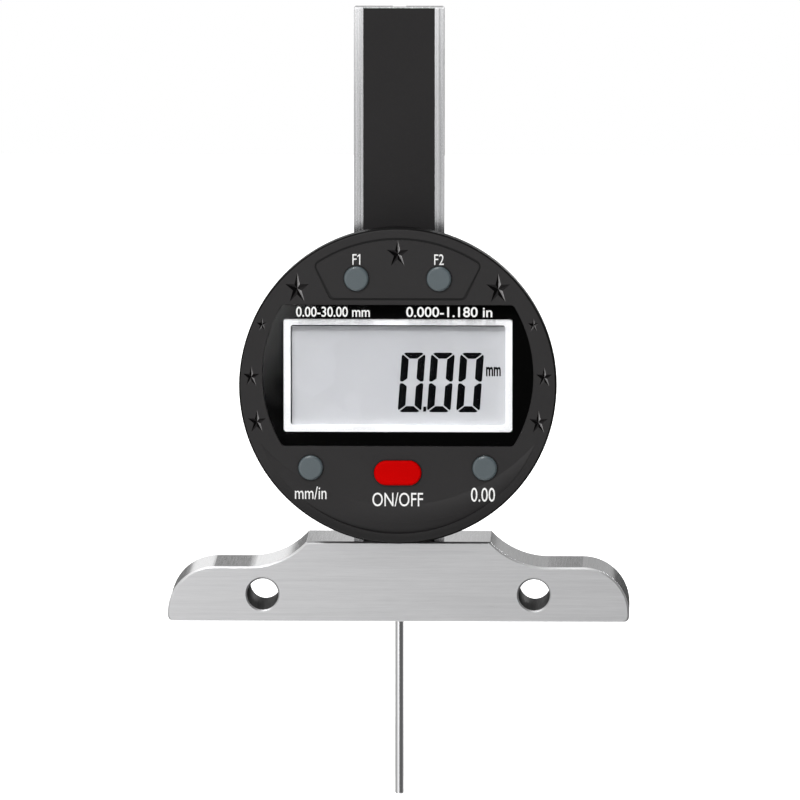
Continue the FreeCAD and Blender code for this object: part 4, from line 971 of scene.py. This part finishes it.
# Behind: a bright backdrop low on the left, and dimmer tones from the horizon down
back_light = tone_ramp(to_right, BACK_REACH, BACK_TONES)
low_left = multiply(sky, sky_step(to_right, -0.014, -0.018), sky_step(to_top, 0.112, 0.102))
back_light = blend_values(sky, low_left, back_light, 1.6)
low_tone = blend_values(sky, sky_step(to_right, 0.25, 0.45), 0.2, 0.45)
low_tone = blend_values(sky, sky_step(to_right, -0.3, -0.5), low_tone, 0.35)
low_back = multiply(sky, sky_step(to_top, 0.04, 0.008), sky_step(to_top, -0.85, -0.7))
back_light = multiply(sky, back_light, blend_values(sky, low_back, 1.0, low_tone))
front_light = tone_ramp(to_right, 1.0, FRONT_TONES)
around = blend_values(sky, sky_step(to_back, -0.2, -0.02), front_light, back_light)

# The flat window mirrors the soft edge between a bright card and a dark flag in front
CARD_TONE = 3.2
FLAG_TONE = 0.03
across_flag = dot(sky, direction, (0.878, 0, -0.478))
along_flag = dot(sky, direction, (0.478, 0, 0.878))
band = multiply(sky, sky_step(along_flag, -0.22, -0.18), sky_step(along_flag, 0.02, -0.03))
band = multiply(sky, band, sky_step(to_back, -0.8, -0.9))
band = multiply(sky, band, sky_step(across_flag, 0.14, 0.11))
card = multiply(sky, band, sky_step(across_flag, -0.02, 0.0))
card_or_flag = blend_values(sky, sky_step(across_flag, 0.0200, 0.0240), CARD_TONE, FLAG_TONE)
openness = blend_values(sky, card, 1.0, card_or_flag)

brightness = multiply(sky, around, tone_ramp(to_top, 1.0, UP_TONES))
brightness = multiply(sky, brightness, openness)

studio = sky.nodes.new("ShaderNodeBackground")
studio.inputs["Strength"].default_value = 1.2
sky.links.new(brightness, studio.inputs["Color"])
white = sky.nodes.new("ShaderNodeBackground")
white.inputs["Color"].default_value = (1, 1, 1, 1)
white.inputs["Strength"].default_value = 1.0
path = sky.nodes.new("ShaderNodeLightPath")
chooser = sky.nodes.new("ShaderNodeMixShader")
sky_output = sky.nodes.new("ShaderNodeOutputWorld")
sky.links.new(path.outputs["Is Camera Ray"], chooser.inputs[0])
sky.links.new(studio.outputs["Background"], chooser.inputs[1])
sky.links.new(white.outputs["Background"], chooser.inputs[2])
sky.links.new(chooser.outputs["Shader"], sky_output.inputs["Surface"])


# Lamps


def add_lamp(name, place_at, aim, size, power):
    """A soft square lamp that looks at a point."""
    lamp_data = bpy.data.lights.new(name, "AREA")
    lamp_data.shape = "SQUARE"
    lamp_data.size = size
    lamp_data.energy = power
    lamp = bpy.data.objects.new(name, lamp_data)
    lamp.location = place_at
    lamp.rotation_euler = (Vector(aim) - Vector(place_at)).to_track_quat("-Z", "Y").to_euler()
    lamp.visible_camera = False
    scene.collection.objects.link(lamp)


HEAD = (0, 0, 0.04)
add_lamp("key_top", (-0.22, -0.72, 0.80), HEAD, 0.14, 5.7)
add_lamp("front_card", (-0.17, -0.42, 0.02), (-0.02, 0, 0.01), 0.18, 0.06)
add_lamp("beam_card", (-0.01, -0.2, 0.122), (0, 0, 0.11), 0.04, 0.015)
add_lamp("back_soft", (0.5, 0.8, 0.5), HEAD, 0.4, 6.0)
add_lamp("back_left_soft", (-0.7, 0.6, 0.25), HEAD, 0.3, 1.6)
